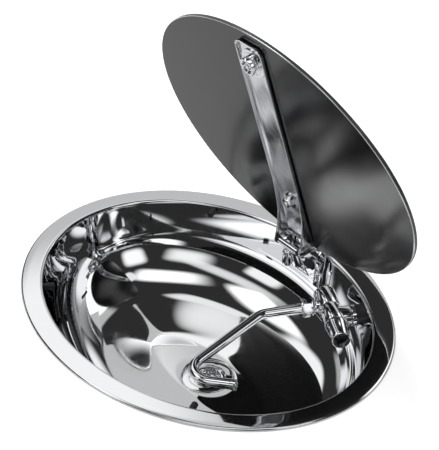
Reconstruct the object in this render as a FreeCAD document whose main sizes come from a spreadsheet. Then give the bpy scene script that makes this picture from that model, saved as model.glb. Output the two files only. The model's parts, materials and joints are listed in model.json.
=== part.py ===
import FreeCAD, Part
import math
import os
import Sketcher

# Oval drop-in sink with a hinged glass lid and a folding tap, in millimetres.
# +X runs along the oval, +Y points to the hinge at the back and +Z points up.
# The origin is the middle of the worktop cut-out, on the worktop's surface.

os.makedirs("parts", exist_ok=True)
doc = FreeCAD.newDocument("oval_sink")
sheet = doc.addObject("Spreadsheet::Sheet", "Sizes")

dimensions = [
    # Bowl pressing: one sheet with a flat flange and a turned-down outer lip.
    ("overall_length", 600, "flange, end to end along X"),
    ("overall_width", 445, "flange, front to back along Y"),
    ("flange_width", 30, "flat rim round the opening"),
    ("flange_rise", 4, "flange top above the worktop"),
    ("sheet_steel", 1, "thickness of the pressing"),
    ("lip_radius", 3, "outer edge of the flange"),
    ("mouth_radius", 4, "flange into the wall"),
    ("bowl_depth", 135, "flange top to the floor"),
    ("wall_draft", 10, "degrees, wall off the vertical"),
    ("floor_fall", 12, "degrees, floor towards the waste"),
    ("turn_radius", 90, "wall into the floor"),
    ("floor_half_width", 52, "flat middle of the floor, half its width"),
    ("gasket_width", 14, "foam strip under the flange"),
    ("lip_gap", 1, "lip to the foam strip"),
    # Waste outlet in the middle of the floor.
    ("waste_flange_radius", 36, "polished ring in the floor"),
    ("waste_flange_thick", 2, "its thickness"),
    ("waste_recess", 2, "pressed step that it lies in"),
    ("throat_radius", 26, "outside of the threaded throat"),
    ("throat_wall", 3, "wall of the throat"),
    ("throat_length", 34, "below the flange"),
    ("throat_gap", 0.5, "throat in the floor's hole"),
    ("waste_seal_thick", 3, "rubber ring below the floor"),
    ("backnut_height", 9, "nut below the seal"),
    ("backnut_radius", 41, "over its lugs' root"),
    ("tail_radius", 12.5, "hose tail, outside"),
    ("tail_wall", 2, "wall of the tail"),
    ("tail_length", 40, "straight part for the hose"),
    ("cup_height", 18, "part of the tail that screws on the throat"),
    ("strainer_radius", 22, "lift-out strainer"),
    ("strainer_depth", 14, "cup of the strainer"),
    ("strainer_wall", 1.2, "its sheet"),
    ("strainer_hole", 1.44, "radius of a hole"),
    ("strainer_knob", 5, "radius of the finger knob"),
    # Glass lid, drawn shut and then turned about the hinge pin.
    ("lid_gap_ends", 8, "mouth to the glass along X"),
    ("lid_gap_sides", 10.5, "mouth to the glass along Y"),
    ("glass_thick", 6, "toughened glass"),
    ("glass_chamfer", 1, "ground edge"),
    ("lid_drop", 3, "glass underside below the flange top"),
    ("open_angle", 76.7, "degrees that the lid stands open at rest"),
    ("pin_inset", 32.5, "hinge pin in from the flange's outer edge"),
    ("pin_up", 4.5, "hinge pin above the flange top"),
    ("pin_radius", 2.5, "hinge pin"),
    ("hinge_offset", -8, "hinge's middle along X"),
    ("eye_radius", 4.6, "metal round the pin"),
    ("running_gap", 0.05, "round fits that turn, on the radius"),
    ("side_gap", 0.3, "between faces that slide past each other"),
    # Arm: a polished channel under the glass.
    ("arm_width", 54, "outside, along X"),
    ("arm_sheet", 1.5, "its sheet"),
    ("arm_front_inset", 54.5, "front end in from the flange's outer edge"),
    ("arm_rear_inset", 50.5, "rear end of the web in from the outer edge"),
    ("arm_side", 4, "height of the side walls at the front"),
    ("arm_knee_inset", 144.5, "where the side walls deepen, in from the outer edge"),
    ("arm_corner", 12, "rounded front corners"),
    ("pad_thick", 0.5, "foam between the glass and the channel"),
    ("cross_inset", 47, "cross bar in from the outer edge, lid shut"),
    ("cross_down", 27.5, "cross bar below the flange top, lid shut"),
    ("cross_radius", 4.5, "cross bar tube"),
    ("cross_bolt", 2.5, "its bolt"),
    ("cross_tab", 5.5, "rounded corner of the side wall at the bar"),
    ("bush_length", 5, "rubber bush at each end of the bar"),
    ("bush_radius", 5.4, "rubber bush"),
    # Two fixings through the glass.
    ("front_fix_inset", 86.5, "front fixing in from the outer edge"),
    ("rear_fix_inset", 118.5, "rear fixing in from the outer edge"),
    ("front_disc_gap", 5, "front washer to the channel's outside"),
    ("rear_disc", 13, "radius of the rear washer"),
    ("disc_thick", 1.5, "washers"),
    ("front_boss", 13, "radius of the front nut"),
    ("front_boss_height", 10, "its height"),
    ("front_recess", 9, "radius of its recess"),
    ("rear_boss", 7.5, "radius of the rear nut"),
    ("rear_boss_height", 8, "its height"),
    ("stud_radius", 3, "studs through the glass"),
    ("stud_play", 0.3, "studs in the channel and washers"),
    ("stud_reach", 13, "studs below the glass"),
    ("sleeve_radius", 5, "plastic sleeves in the glass"),
    ("cap_radius", 14, "outer caps"),
    ("cap_height", 3.5, "outer caps"),
    # Rubber buffers that the lid rests on.
    ("buffer_radius", 4.5, "head of a buffer"),
    ("buffer_reach", 15, "from the mouth's edge inwards"),
    ("buffer_stem", 2.5, "stem through the wall"),
    ("buffer_collar", 1.5, "collar behind the wall, past the stem"),
    ("buffer_angle", 50, "degrees, place round the oval"),
    ("rest_gap", 0.3, "glass to the buffers, shut"),
    # Hinge bracket inside the bowl's back wall.
    ("bracket_half", 41, "half its length along X"),
    ("cheek_depth", 12, "front of its cheeks off the wall"),
    ("cheek_edge_inset", 40.5, "cheek edges ahead of this are rounded"),
    ("bracket_top", 11, "top of the cheeks below the flange top"),
    ("bracket_bottom", 49, "bottom below the flange top"),
    ("bracket_plate", 2, "back plate"),
    ("hinge_pad", 3.8, "rubber pad on the wall, at the middle"),
    ("middle_screw_lower", 8, "middle screw below the outer two"),
    ("stop_thick", 1.2, "rubber strip that the cross bar meets"),
    ("stop_start", 2, "its left end from the hinge's middle"),
    ("stop_end_gap", 0.5, "its right end to the rubber bush"),
    ("stop_bottom", 32, "its lower edge below the flange top"),
    ("stop_height", 11, "up the wall"),
    ("washer_thick", 0.8, "friction washers on the pin"),
    ("hinge_screw_pitch", 35, "between the three screws"),
    ("hinge_screw_down", 30, "screws below the flange top"),
    ("hinge_screw", 2.5, "screw shank"),
    ("hinge_screw_head", 5, "outer screw heads"),
    ("middle_screw_head", 4.5, "middle screw head"),
    ("head_height", 2.4, "screw heads"),
    ("slot_width", 1.1, "cross slot in a head"),
    ("hinge_nut_corner", 4.6, "nuts behind the wall, across their corners"),
    ("hinge_nut_height", 4, "nuts behind the wall"),
    ("pin_cap_radius", 4.2, "chrome caps on the pin"),
    ("pin_cap_length", 4, "along the pin"),
    # Folding tap, in its own frame: X along the body, Y to the wall, Z up.
    ("tap_angle", 60.2, "degrees, place of its shank round the oval"),
    ("tap_reach", 34.9, "body's centre line to the wall"),
    ("tap_down", 30, "tap's centre line below the flange top"),
    ("tap_skew", -4.8, "degrees, shank off square to the wall"),
    ("body_radius", 15.5, "tap body"),
    ("far_end", 26, "outlet to the closed end"),
    ("collar_end", 13, "outlet to the end of the folding collar"),
    ("body_end", 48, "outlet to the knob's seam"),
    ("knob_end", 82, "outlet to the knob's small end"),
    ("core_radius", 9, "core that the collar turns on"),
    ("seam_gap", 0.4, "between collar, body and knob"),
    ("knob_base", 17, "knob's radius at the seam"),
    ("knob_tip", 12.5, "knob's radius at the small end"),
    ("flute_count", 6, "finger flutes round the knob"),
    ("flute_radius", 6.5, "cutter of a flute"),
    ("flute_out", 4.2, "cutter's middle past the knob's base radius"),
    ("index_radius", 2.15, "coloured spot on the knob"),
    ("index_turn", 12, "degrees, spot below the front"),
    ("knob_cap", 11.2, "black end cap"),
    ("knob_cap_dome", 2.5, "its height"),
    ("spindle_radius", 4, "valve spindle"),
    ("spindle_reach", 16, "spindle past the knob's seam"),
    ("knob_screw", 2, "screw that holds the knob"),
    ("valve_radius", 10.5, "valve cartridge"),
    ("valve_length", 22, "valve cartridge"),
    ("neck_radius", 10, "collar's outlet neck"),
    ("neck_length", 28, "from the centre line"),
    ("nut_radius", 13.2, "spout nut, across its corners"),
    ("nut_length", 15, "spout nut"),
    ("spout_radius", 7.1, "spout tube, outside"),
    ("spout_wall", 1, "spout tube"),
    ("first_run", 93, "centre line to the spout's bend"),
    ("bend_turn", 39, "degrees at the bend"),
    ("bend_radius", 22, "centre line of the bend"),
    ("second_run", 173, "bend's corner to the hook's corner"),
    ("hook_turn", 117, "degrees at the hook"),
    ("hook_radius", 28, "centre line of the hook"),
    ("last_run", 74, "hook's corner to the tip"),
    ("tip_radius", 7.6, "outlet ring"),
    ("tip_length", 8, "outlet ring"),
    ("shank_along", 30, "outlet to the inlet shank, along the body"),
    ("shank_radius", 9, "threaded shank through the wall"),
    ("shank_bore", 5, "water way"),
    ("shank_length", 78, "from the centre line"),
    ("branch_radius", 14, "body's arm over the shank"),
    ("rose_radius", 15, "polished rose on the wall"),
    ("rose_thick", 6, "rose along the shank"),
    ("rose_start", 24, "rose from the centre line"),
    ("back_start", 46, "washer behind the wall from the centre line"),
    ("shank_washer", 2, "washer behind the wall"),
    ("shank_nut_radius", 15, "backnut, across its corners"),
    ("shank_nut_height", 8, "backnut"),
    ("inlet_radius", 6, "hose tail of the tap"),
    ("inlet_length", 26, "hose tail of the tap"),
    # Clamps that draw the flange down onto the worktop.
    ("clamp_count", 8, "round the bowl"),
    ("clamp_width", 18, "bracket"),
    ("clamp_sheet", 1.5, "shelf of the bracket"),
    ("clamp_screw_out", 6.5, "screw from the wall's top edge"),
    ("claw_thick", 2, "claw plate"),
    ("claw_tooth", 4, "claw's turned-up end"),
    ("clamp_head", 4.4, "screw head"),
    ("clamp_drop", 34, "bracket below the worktop surface"),
    ("clamp_reach", 26, "claw outwards"),
    ("clamp_screw", 2.5, "clamp screw"),
    ("worktop_thick", 22, "worktop that the claws are drawn at"),
]


class Size:
    # A length with its value and the spreadsheet formula behind it.
    def __init__(self, number, formula):
        self.number = number
        self.formula = formula

    def __float__(self):
        return self.number

    def __add__(self, other):
        return Size(self.number + float(other), f"({self.formula} + {formula_of(other)})")

    def __sub__(self, other):
        return Size(self.number - float(other), f"({self.formula} - {formula_of(other)})")

    def __mul__(self, other):
        return Size(self.number * float(other), f"({self.formula} * {formula_of(other)})")

    def __truediv__(self, other):
        return Size(self.number / float(other), f"({self.formula} / {formula_of(other)})")

    def __radd__(self, other):
        return Size(other + self.number, f"({other} + {self.formula})")

    def __rsub__(self, other):
        return Size(other - self.number, f"({other} - {self.formula})")

    def __rmul__(self, other):
        return Size(other * self.number, f"({other} * {self.formula})")

    def __neg__(self):
        return Size(-self.number, f"(0 - {self.formula})")


def formula_of(length):
    return length.formula if isinstance(length, Size) else str(length)


def bind(feature, prop, length):
    if isinstance(length, Size):
        feature.setExpression(prop, length.formula)
    else:
        setattr(feature, prop, length)


class Dimensions:
    pass


dim = Dimensions()
for row, (alias, number, note) in enumerate(dimensions, start=1):
    sheet.set(f"A{row}", str(number))
    sheet.setAlias(f"A{row}", alias)
    sheet.set(f"B{row}", note)
    setattr(dim, alias, Size(float(number), f"Sizes.{alias}"))
doc.recompute()

nodes = []


def keep(label, feature):
    # A finished sub-part: its label names its node and its file.
    feature.Label = label
    nodes.append(feature)
    return feature


# Places. Each gives a Placement in millimetres, from numbers or sizes.

def vector(x, y, z):
    return FreeCAD.Vector(float(x), float(y), float(z))


def at(x=0, y=0, z=0, turn=0):
    return FreeCAD.Placement(vector(x, y, z), FreeCAD.Rotation(vector(0, 0, 1), turn))


def along_x(x=0, y=0, z=0):
    return FreeCAD.Placement(vector(x, y, z), FreeCAD.Rotation(vector(0, 1, 0), 90))


def along_y(x=0, y=0, z=0):
    return FreeCAD.Placement(vector(x, y, z), FreeCAD.Rotation(vector(1, 0, 0), -90))


def against_y(x=0, y=0, z=0):
    return FreeCAD.Placement(vector(x, y, z), FreeCAD.Rotation(vector(1, 0, 0), 90))


# Shapes. Sizes stay bound to the sheet.

def cylinder(radius, height, place):
    feature = doc.addObject("Part::Cylinder", "Round")
    bind(feature, "Radius", radius)
    bind(feature, "Height", height)
    feature.Placement = place
    return feature


def box(length, width, height, place):
    feature = doc.addObject("Part::Box", "Block")
    bind(feature, "Length", length)
    bind(feature, "Width", width)
    bind(feature, "Height", height)
    feature.Placement = place
    return feature


def prism(sides, corner, height, place):
    feature = doc.addObject("Part::Prism", "Prism")
    feature.Polygon = sides
    bind(feature, "Circumradius", corner)
    bind(feature, "Height", height)
    feature.Placement = place
    return feature


def ring(major, minor, place):
    feature = doc.addObject("Part::Torus", "Ring")
    bind(feature, "Radius1", major)
    bind(feature, "Radius2", minor)
    feature.Placement = place
    return feature


def fuse(*shapes):
    feature = doc.addObject("Part::MultiFuse", "Joined")
    feature.Shapes = list(shapes)
    return feature


def cut(base, *tools):
    feature = doc.addObject("Part::Cut", "Trimmed")
    feature.Base = base
    feature.Tool = tools[0] if len(tools) == 1 else fuse(*tools)
    return feature


def common(first, second):
    feature = doc.addObject("Part::Common", "Shared")
    feature.Base = first
    feature.Tool = second
    return feature


def group(*shapes):
    feature = doc.addObject("Part::Compound", "Group")
    feature.Links = list(shapes)
    return feature


def rounded(base, radius, wanted):
    # Rounds every edge of the base that the wanted test accepts.
    doc.recompute()
    feature = doc.addObject("Part::Fillet", "Rounded")
    feature.Base = base
    edges = []
    for number, edge in enumerate(base.Shape.Edges, start=1):
        if wanted(edge):
            edges.append((number, float(radius), float(radius)))
    if not edges:
        raise ValueError("no edge to round on " + base.Label)
    feature.Edges = edges
    return feature


def bevelled(base, depth, wanted):
    doc.recompute()
    feature = doc.addObject("Part::Chamfer", "Bevelled")
    feature.Base = base
    edges = []
    for number, edge in enumerate(base.Shape.Edges, start=1):
        if wanted(edge):
            edges.append((number, float(depth), float(depth)))
    feature.Edges = edges
    return feature


def level_edge(height, reach):
    # Test for a level edge at one height whose farthest point along X is known.
    def wanted(edge):
        bounds = edge.BoundBox
        flat = bounds.ZLength < 0.5
        here = abs(bounds.Center.z - float(height)) < 0.5
        return flat and here and abs(bounds.XMax - float(reach)) < 0.5
    return wanted


def sketch_on(body, role, points):
    # Closed outline through points that are bound to the sheet, on an origin plane.
    sketch = body.newObject("Sketcher::SketchObject", "Outline")
    plane = [item for item in body.Origin.OriginFeatures if item.Role == role][0]
    sketch.AttachmentSupport = [(plane, "")]
    sketch.MapMode = "FlatFace"
    count = len(points)
    corners = [vector(across, up, 0) for across, up in points]
    for index in range(count):
        line = Part.LineSegment(corners[index], corners[(index + 1) % count])
        sketch.addGeometry(line, False)
    for index in range(count):
        joint = Sketcher.Constraint("Coincident", index, 2, (index + 1) % count, 1)
        sketch.addConstraint(joint)
    for index, pair in enumerate(points):
        for kind, length, axis in (("DistanceX", pair[0], -2), ("DistanceY", pair[1], -1)):
            if float(length) == 0:
                sketch.addConstraint(Sketcher.Constraint("PointOnObject", index, 1, axis))
                continue
            value = float(length)
            number = sketch.addConstraint(Sketcher.Constraint(kind, -1, 1, index, 1, value))
            if isinstance(length, Size):
                sketch.setExpression(f"Constraints[{number}]", length.formula)
    return sketch


def turned(name, points, place=None):
    # Lathe-turned piece: (radius, height) points swept round the local Z axis.
    body = doc.addObject("PartDesign::Body", name)
    sketch = sketch_on(body, "XZ_Plane", points)
    feature = body.newObject("PartDesign::Revolution", "Turning")
    feature.Profile = sketch
    feature.ReferenceAxis = (sketch, ["V_Axis"])
    feature.Angle = 360
    doc.recompute()
    body.Placement = place or FreeCAD.Placement()
    return body


def cut_from_plate(name, points, thickness, place=None, role="XY_Plane"):
    # Flat piece: an outline padded to its thickness.
    body = doc.addObject("PartDesign::Body", name)
    sketch = sketch_on(body, role, points)
    feature = body.newObject("PartDesign::Pad", "Plate")
    feature.Profile = sketch
    bind(feature, "Length", thickness)
    doc.recompute()
    body.Placement = place or FreeCAD.Placement()
    return body


def oval(half_length, half_width, height):
    feature = doc.addObject("Part::Ellipse", "Oval")
    bind(feature, "MajorRadius", half_length)
    bind(feature, "MinorRadius", half_width)
    feature.Placement = at(0, 0, height)
    return feature


def oval_plate(half_length, half_width, bottom, thickness):
    feature = doc.addObject("Part::Extrusion", "OvalPlate")
    feature.Base = oval(half_length, half_width, bottom)
    feature.DirMode = "Custom"
    feature.Dir = vector(0, 0, 1)
    bind(feature, "LengthFwd", thickness)
    feature.Solid = True
    return feature


# Bowl: the wall runs down at its draft, turns and falls gently to a flat middle.

rim_top = dim.flange_rise
half_length = dim.overall_length / 2
half_width = dim.overall_width / 2
mouth_length = half_length - dim.flange_width
mouth_width = half_width - dim.flange_width
draft = math.radians(float(dim.wall_draft))
# Places along Y that follow the flange's outline.
pin_back = half_width - dim.pin_inset
arm_front = half_width - dim.arm_front_inset
arm_rear = half_width - dim.arm_rear_inset
arm_knee = half_width - dim.arm_knee_inset
bar_back = half_width - dim.cross_inset
front_fix = dim.front_fix_inset - half_width
rear_fix = half_width - dim.rear_fix_inset
front_disc = dim.arm_width / 2 - dim.front_disc_gap
fall = math.radians(float(dim.floor_fall))
steps_on_turn = 4


def wall_sections(skin):
    # (inset from the mouth, depth below the flange top) of one face of the sheet.
    end_inset = float(mouth_width - dim.floor_half_width)
    end_depth = float(dim.bowl_depth)
    # The wall's line and the floor's line cross at the corner that the turn rounds off.
    crossing = (end_depth - end_inset * math.tan(fall)) / (1 - math.tan(draft) * math.tan(fall))
    corner = (crossing * math.tan(draft), crossing)
    turn = math.pi / 2 - draft - fall
    reach = float(dim.turn_radius) * math.tan(turn / 2)
    turn_start = (corner[0] - reach * math.sin(draft), corner[1] - reach * math.cos(draft))
    centre = (
        turn_start[0] + float(dim.turn_radius) * math.cos(draft),
        turn_start[1] - float(dim.turn_radius) * math.sin(draft),
    )
    sections = [((0, 0), draft)]
    for step in range(steps_on_turn + 1):
        angle = draft + turn * step / steps_on_turn
        across = centre[0] - float(dim.turn_radius) * math.cos(angle)
        down = centre[1] + float(dim.turn_radius) * math.sin(angle)
        sections.append(((across, down), angle))
    sections.append(((end_inset, end_depth), math.pi / 2 - fall))
    offsets = []
    for (across, down), angle in sections:
        offsets.append((across - skin * math.cos(angle), down + skin * math.sin(angle)))
    return offsets


def bowl_body(skin):
    # Solid bounded by the inner face (skin 0) or the outer face of the sheet.
    ovals = []
    for inset, depth in wall_sections(skin):
        ovals.append(oval(mouth_length - inset, mouth_width - inset, rim_top - depth))
    return fuse(loft(ovals[:2], True), loft(ovals[1:-1], False), loft(ovals[-2:], True))


def loft(ovals, ruled):
    feature = doc.addObject("Part::Loft", "BowlForm")
    feature.Sections = ovals
    feature.Solid = True
    feature.Ruled = ruled
    return feature


def wall_inset(depth):
    return float(depth) * math.tan(draft)


def on_wall(angle, depth):
    # Point of the inner wall at an angle of the oval's parameter and a depth.
    inset = wall_inset(depth)
    x = (float(mouth_length) - inset) * math.cos(angle)
    y = (float(mouth_width) - inset) * math.sin(angle)
    return vector(x, y, rim_top - depth)


def wall_outward(angle):
    # Level direction square to the wall.
    x = math.cos(angle) / float(mouth_length)
    y = math.sin(angle) / float(mouth_width)
    return vector(x, y, 0).normalize()


inner_form = bowl_body(0)
outer_form = bowl_body(float(dim.sheet_steel))
floor_z = rim_top - dim.bowl_depth
recess_z = floor_z - dim.waste_recess
floor_under = recess_z - dim.sheet_steel

# Hinge frame: on the back wall, Y square out through the wall, Z up along it.
hinge_place = FreeCAD.Placement(
    vector(dim.hinge_offset, mouth_width, rim_top),
    FreeCAD.Rotation(vector(1, 0, 0), -float(dim.wall_draft)),
)
pin_z = rim_top + dim.pin_up
opening_turn = FreeCAD.Rotation(vector(1, 0, 0), -float(dim.open_angle))
pin_point = vector(0, pin_back, pin_z)
open_place = FreeCAD.Placement(vector(0, 0, 0), opening_turn, pin_point)

# Tap frame: X along the tap's body, Y out to the wall, Z up, origin at the outlet.
tap_angle = math.radians(float(dim.tap_angle))
tap_outward = wall_outward(tap_angle)
tap_turn = math.degrees(math.atan2(tap_outward.y, tap_outward.x)) - 90 + float(dim.tap_skew)
tap_place = FreeCAD.Placement(
    on_wall(tap_angle, dim.tap_down),
    FreeCAD.Rotation(vector(0, 0, 1), tap_turn),
).multiply(at(-dim.shank_along, -dim.tap_reach, 0))


def placed(frame, feature):
    # Puts a finished shape into one of the frames above.
    feature.Placement = frame.multiply(feature.Placement)
    return feature


# Places of the holes that the bowl shares with what passes through it.
hinge_screws = [
    (dim.hinge_screw_pitch * -1, dim.hinge_screw_down * -1),
    (Size(0.0, "0"), (dim.hinge_screw_down + dim.middle_screw_lower) * -1),
    (dim.hinge_screw_pitch, dim.hinge_screw_down * -1),
]


def hinge_screw_holes():
    # Clearance bores through the bracket, pad, wall and backing plate.
    holes = []
    for across, up in hinge_screws:
        bore = cylinder(dim.hinge_screw + dim.side_gap, 40, along_y(across, -25, up))
        holes.append(placed(hinge_place, bore))
    return holes


buffer_depth = dim.lid_drop + dim.rest_gap + dim.buffer_radius
buffer_angles = []
for quarter in range(4):
    side = 1 if quarter % 2 == 0 else -1
    start = 0 if quarter < 2 else 180
    buffer_angles.append(math.radians(start + side * float(dim.buffer_angle)))


def buffer_place(angle):
    # On the wall, local Z pointing out through it.
    spin = FreeCAD.Rotation(vector(0, 0, 1), wall_outward(angle))
    return FreeCAD.Placement(on_wall(angle, float(buffer_depth)), spin)


def make_bowl():
    # One pressing: flange with a turned-down lip, wall and floor with a recess.
    sheet_steel = dim.sheet_steel
    disc = oval_plate(half_length, half_width, 0, rim_top)
    disc = rounded(disc, dim.lip_radius, level_edge(rim_top, half_length))
    pocket_rise = rim_top - sheet_steel
    pocket = oval_plate(half_length - sheet_steel, half_width - sheet_steel, -1, pocket_rise + 1)
    pocket_edge = level_edge(pocket_rise, half_length - sheet_steel)
    pocket = rounded(pocket, dim.lip_radius - sheet_steel, pocket_edge)
    drum = cylinder(
        dim.waste_flange_radius + dim.throat_gap + sheet_steel,
        dim.waste_recess + sheet_steel + 1,
        at(0, 0, floor_under),
    )
    shell = fuse(cut(disc, pocket), outer_form, drum)
    shell = rounded(shell, dim.mouth_radius - sheet_steel, under_flange_edge)
    hollow = cut(shell, inner_form)
    hollow = rounded(hollow, dim.mouth_radius, level_edge(rim_top, mouth_length))
    recess = cylinder(
        dim.waste_flange_radius + dim.throat_gap, dim.waste_recess + 2, at(0, 0, recess_z)
    )
    drain = cylinder(dim.throat_radius + dim.throat_gap, 20, at(0, 0, floor_under - 5))
    tools = [recess, drain]
    tools.append(placed(tap_place, cylinder(
        dim.shank_radius + dim.throat_gap, 40, along_y(dim.shank_along, 20, 0))))
    tools.extend(hinge_screw_holes())
    for angle in buffer_angles:
        hole = cylinder(dim.buffer_stem, 10, at(0, 0, -5))
        tools.append(placed(buffer_place(angle), hole))
    return keep("bowl", cut(hollow, *tools))


def under_flange_edge(edge):
    # Where the flange's underside meets the outside of the wall.
    bounds = edge.BoundBox
    low = float(rim_top - dim.sheet_steel)
    inside = float(mouth_length) - 3 < bounds.XMax < float(mouth_length) + 3
    return bounds.ZLength < 0.2 and abs(bounds.ZMax - low) < 0.1 and inside


def make_flange_gasket():
    outer_x = half_length - dim.sheet_steel - dim.lip_gap
    outer_y = half_width - dim.sheet_steel - dim.lip_gap
    height = rim_top - dim.sheet_steel
    strip = oval_plate(outer_x, outer_y, 0, height)
    strip = rounded(strip, dim.lip_radius - dim.sheet_steel, level_edge(height, outer_x))
    hole = oval_plate(outer_x - dim.gasket_width, outer_y - dim.gasket_width, -1, height + 2)
    keep("flange_gasket", cut(strip, hole))


def make_waste():
    throat_inner = dim.throat_radius - dim.throat_wall
    flange_top = recess_z + dim.waste_flange_thick
    throat_foot = recess_z - dim.throat_length
    rise = dim.throat_length
    seat = dim.strainer_radius - 2
    keep("waste_flange", turned("WasteFlange", [
        (throat_inner, 0),
        (dim.throat_radius, 0),
        (dim.throat_radius, rise),
        (dim.waste_flange_radius, rise),
        (dim.waste_flange_radius, rise + dim.waste_flange_thick * 0.5),
        (dim.waste_flange_radius - 2, rise + dim.waste_flange_thick),
        (dim.throat_radius - 0.5, rise + dim.waste_flange_thick),
        (dim.throat_radius - 0.5, rise + dim.waste_flange_thick - dim.strainer_wall),
        (throat_inner, rise + dim.waste_flange_thick - dim.strainer_wall),
    ], at(0, 0, throat_foot)))
    bars = []
    for quarter in range(2):
        bar = box(throat_inner * 2 - 0.2, 3, 2, at(-float(throat_inner) + 0.1, -1.5, 0))
        bar.Placement = at(0, 0, throat_foot + 6, 90 * quarter).multiply(bar.Placement)
        bars.append(bar)
    rim = cut(
        cylinder(throat_inner - 0.05, 2, at(0, 0, throat_foot + 6)),
        cylinder(throat_inner - 2.5, 4, at(0, 0, throat_foot + 5)),
    )
    keep("waste_cross", fuse(rim, *bars))
    seal_top = floor_under
    keep("waste_seal", turned("WasteSeal", [
        (dim.throat_radius + 0.3, 0),
        (dim.waste_flange_radius + 2, 0),
        (dim.waste_flange_radius + 2, dim.waste_seal_thick),
        (dim.throat_radius + 0.3, dim.waste_seal_thick),
    ], at(0, 0, seal_top - dim.waste_seal_thick)))
    nut_foot = seal_top - dim.waste_seal_thick - dim.backnut_height
    nut = cylinder(dim.backnut_radius, dim.backnut_height, at(0, 0, nut_foot))
    lugs = []
    for lug in range(6):
        block = box(6, 10, dim.backnut_height, at(dim.backnut_radius - 3, -5, 0))
        block.Placement = at(0, 0, nut_foot, 60 * lug).multiply(block.Placement)
        lugs.append(block)
    bore = cylinder(dim.throat_radius + dim.running_gap, 40, at(0, 0, nut_foot - 10))
    keep("waste_backnut", cut(fuse(nut, *lugs), bore))
    cup_inner = dim.throat_radius + dim.running_gap
    cup_outer = dim.throat_radius + 5
    bore_radius = dim.tail_radius - dim.tail_wall
    cone = dim.tail_length + 14
    cup_floor = cone + 3
    cup_top = cup_floor + dim.cup_height
    keep("waste_tail", turned("WasteTail", [
        (bore_radius, 0),
        (dim.tail_radius, 0),
        (dim.tail_radius, dim.tail_length),
        (cup_outer, cone),
        (cup_outer, cup_top),
        (cup_inner, cup_top),
        (cup_inner, cup_floor),
        (throat_inner, cup_floor),
        (bore_radius, dim.tail_length + 3),
    ], at(0, 0, throat_foot - 2 - cup_floor)))
    keep("waste_washer", turned("WasteWasher", [
        (throat_inner, 0),
        (dim.throat_radius, 0),
        (dim.throat_radius, 2),
        (throat_inner, 2),
    ], at(0, 0, throat_foot - 2)))
    # The strainer hangs by its rim on the flange's throat and lifts straight out.
    wall = dim.strainer_wall
    drop = dim.strainer_depth
    cup_foot = flange_top - wall - drop
    cup = turned("Strainer", [
        (0, 0),
        (seat - 2, 0),
        (seat, 2),
        (seat, drop),
        (dim.strainer_radius + 3, drop),
        (dim.strainer_radius + 3, drop + wall),
        (seat - wall, drop + wall),
        (seat - wall, 2.5),
        (seat - 2.5, wall),
        (dim.strainer_knob * 0.5, wall),
        (dim.strainer_knob * 0.5, drop - 5),
        (dim.strainer_knob, drop - 4),
        (dim.strainer_knob, drop - 1),
        (dim.strainer_knob - 1, drop),
        (0, drop),
    ], at(0, 0, cup_foot))
    holes = []
    for circle, count in ((7.5, 8), (12, 14), (16.2, 20)):
        for step in range(count):
            angle = 2 * math.pi * step / count
            place = at(circle * math.cos(angle), circle * math.sin(angle), cup_foot - 1)
            holes.append(cylinder(dim.strainer_hole, 4, place))
    keep("strainer", cut(cup, *holes))


def make_buffers():
    # Rubber heads inside the wall, each held by a stem through it and a collar behind.
    heads = []
    for angle in buffer_angles:
        frame = buffer_place(angle)
        head = cylinder(dim.buffer_radius, dim.buffer_reach + 8, frame.multiply(
            at(0, 0, -dim.buffer_reach)))
        head = rounded(head, 1.5, end_edge(frame, -dim.buffer_reach))
        stem = cylinder(dim.buffer_stem, 10, frame.multiply(at(0, 0, -4)))
        collar = cylinder(dim.buffer_stem + dim.buffer_collar, 12, frame.multiply(at(0, 0, -6)))
        behind = cut(collar, outer_form)
        heads.append(fuse(common(head, inner_form), stem, behind))
    keep("lid_buffers", group(*heads))


def end_edge(frame, height):
    # Test for the rim of a round end at one height of a frame.
    def wanted(edge):
        if len(edge.Vertexes) > 1:
            return False
        return abs(frame.inverse().multVec(edge.CenterOfMass).z - float(height)) < 0.1
    return wanted


def hinge_box(x_from, y_from, z_from, length, depth, height):
    return placed(hinge_place, box(length, depth, height, at(x_from, y_from, z_from)))


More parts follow.
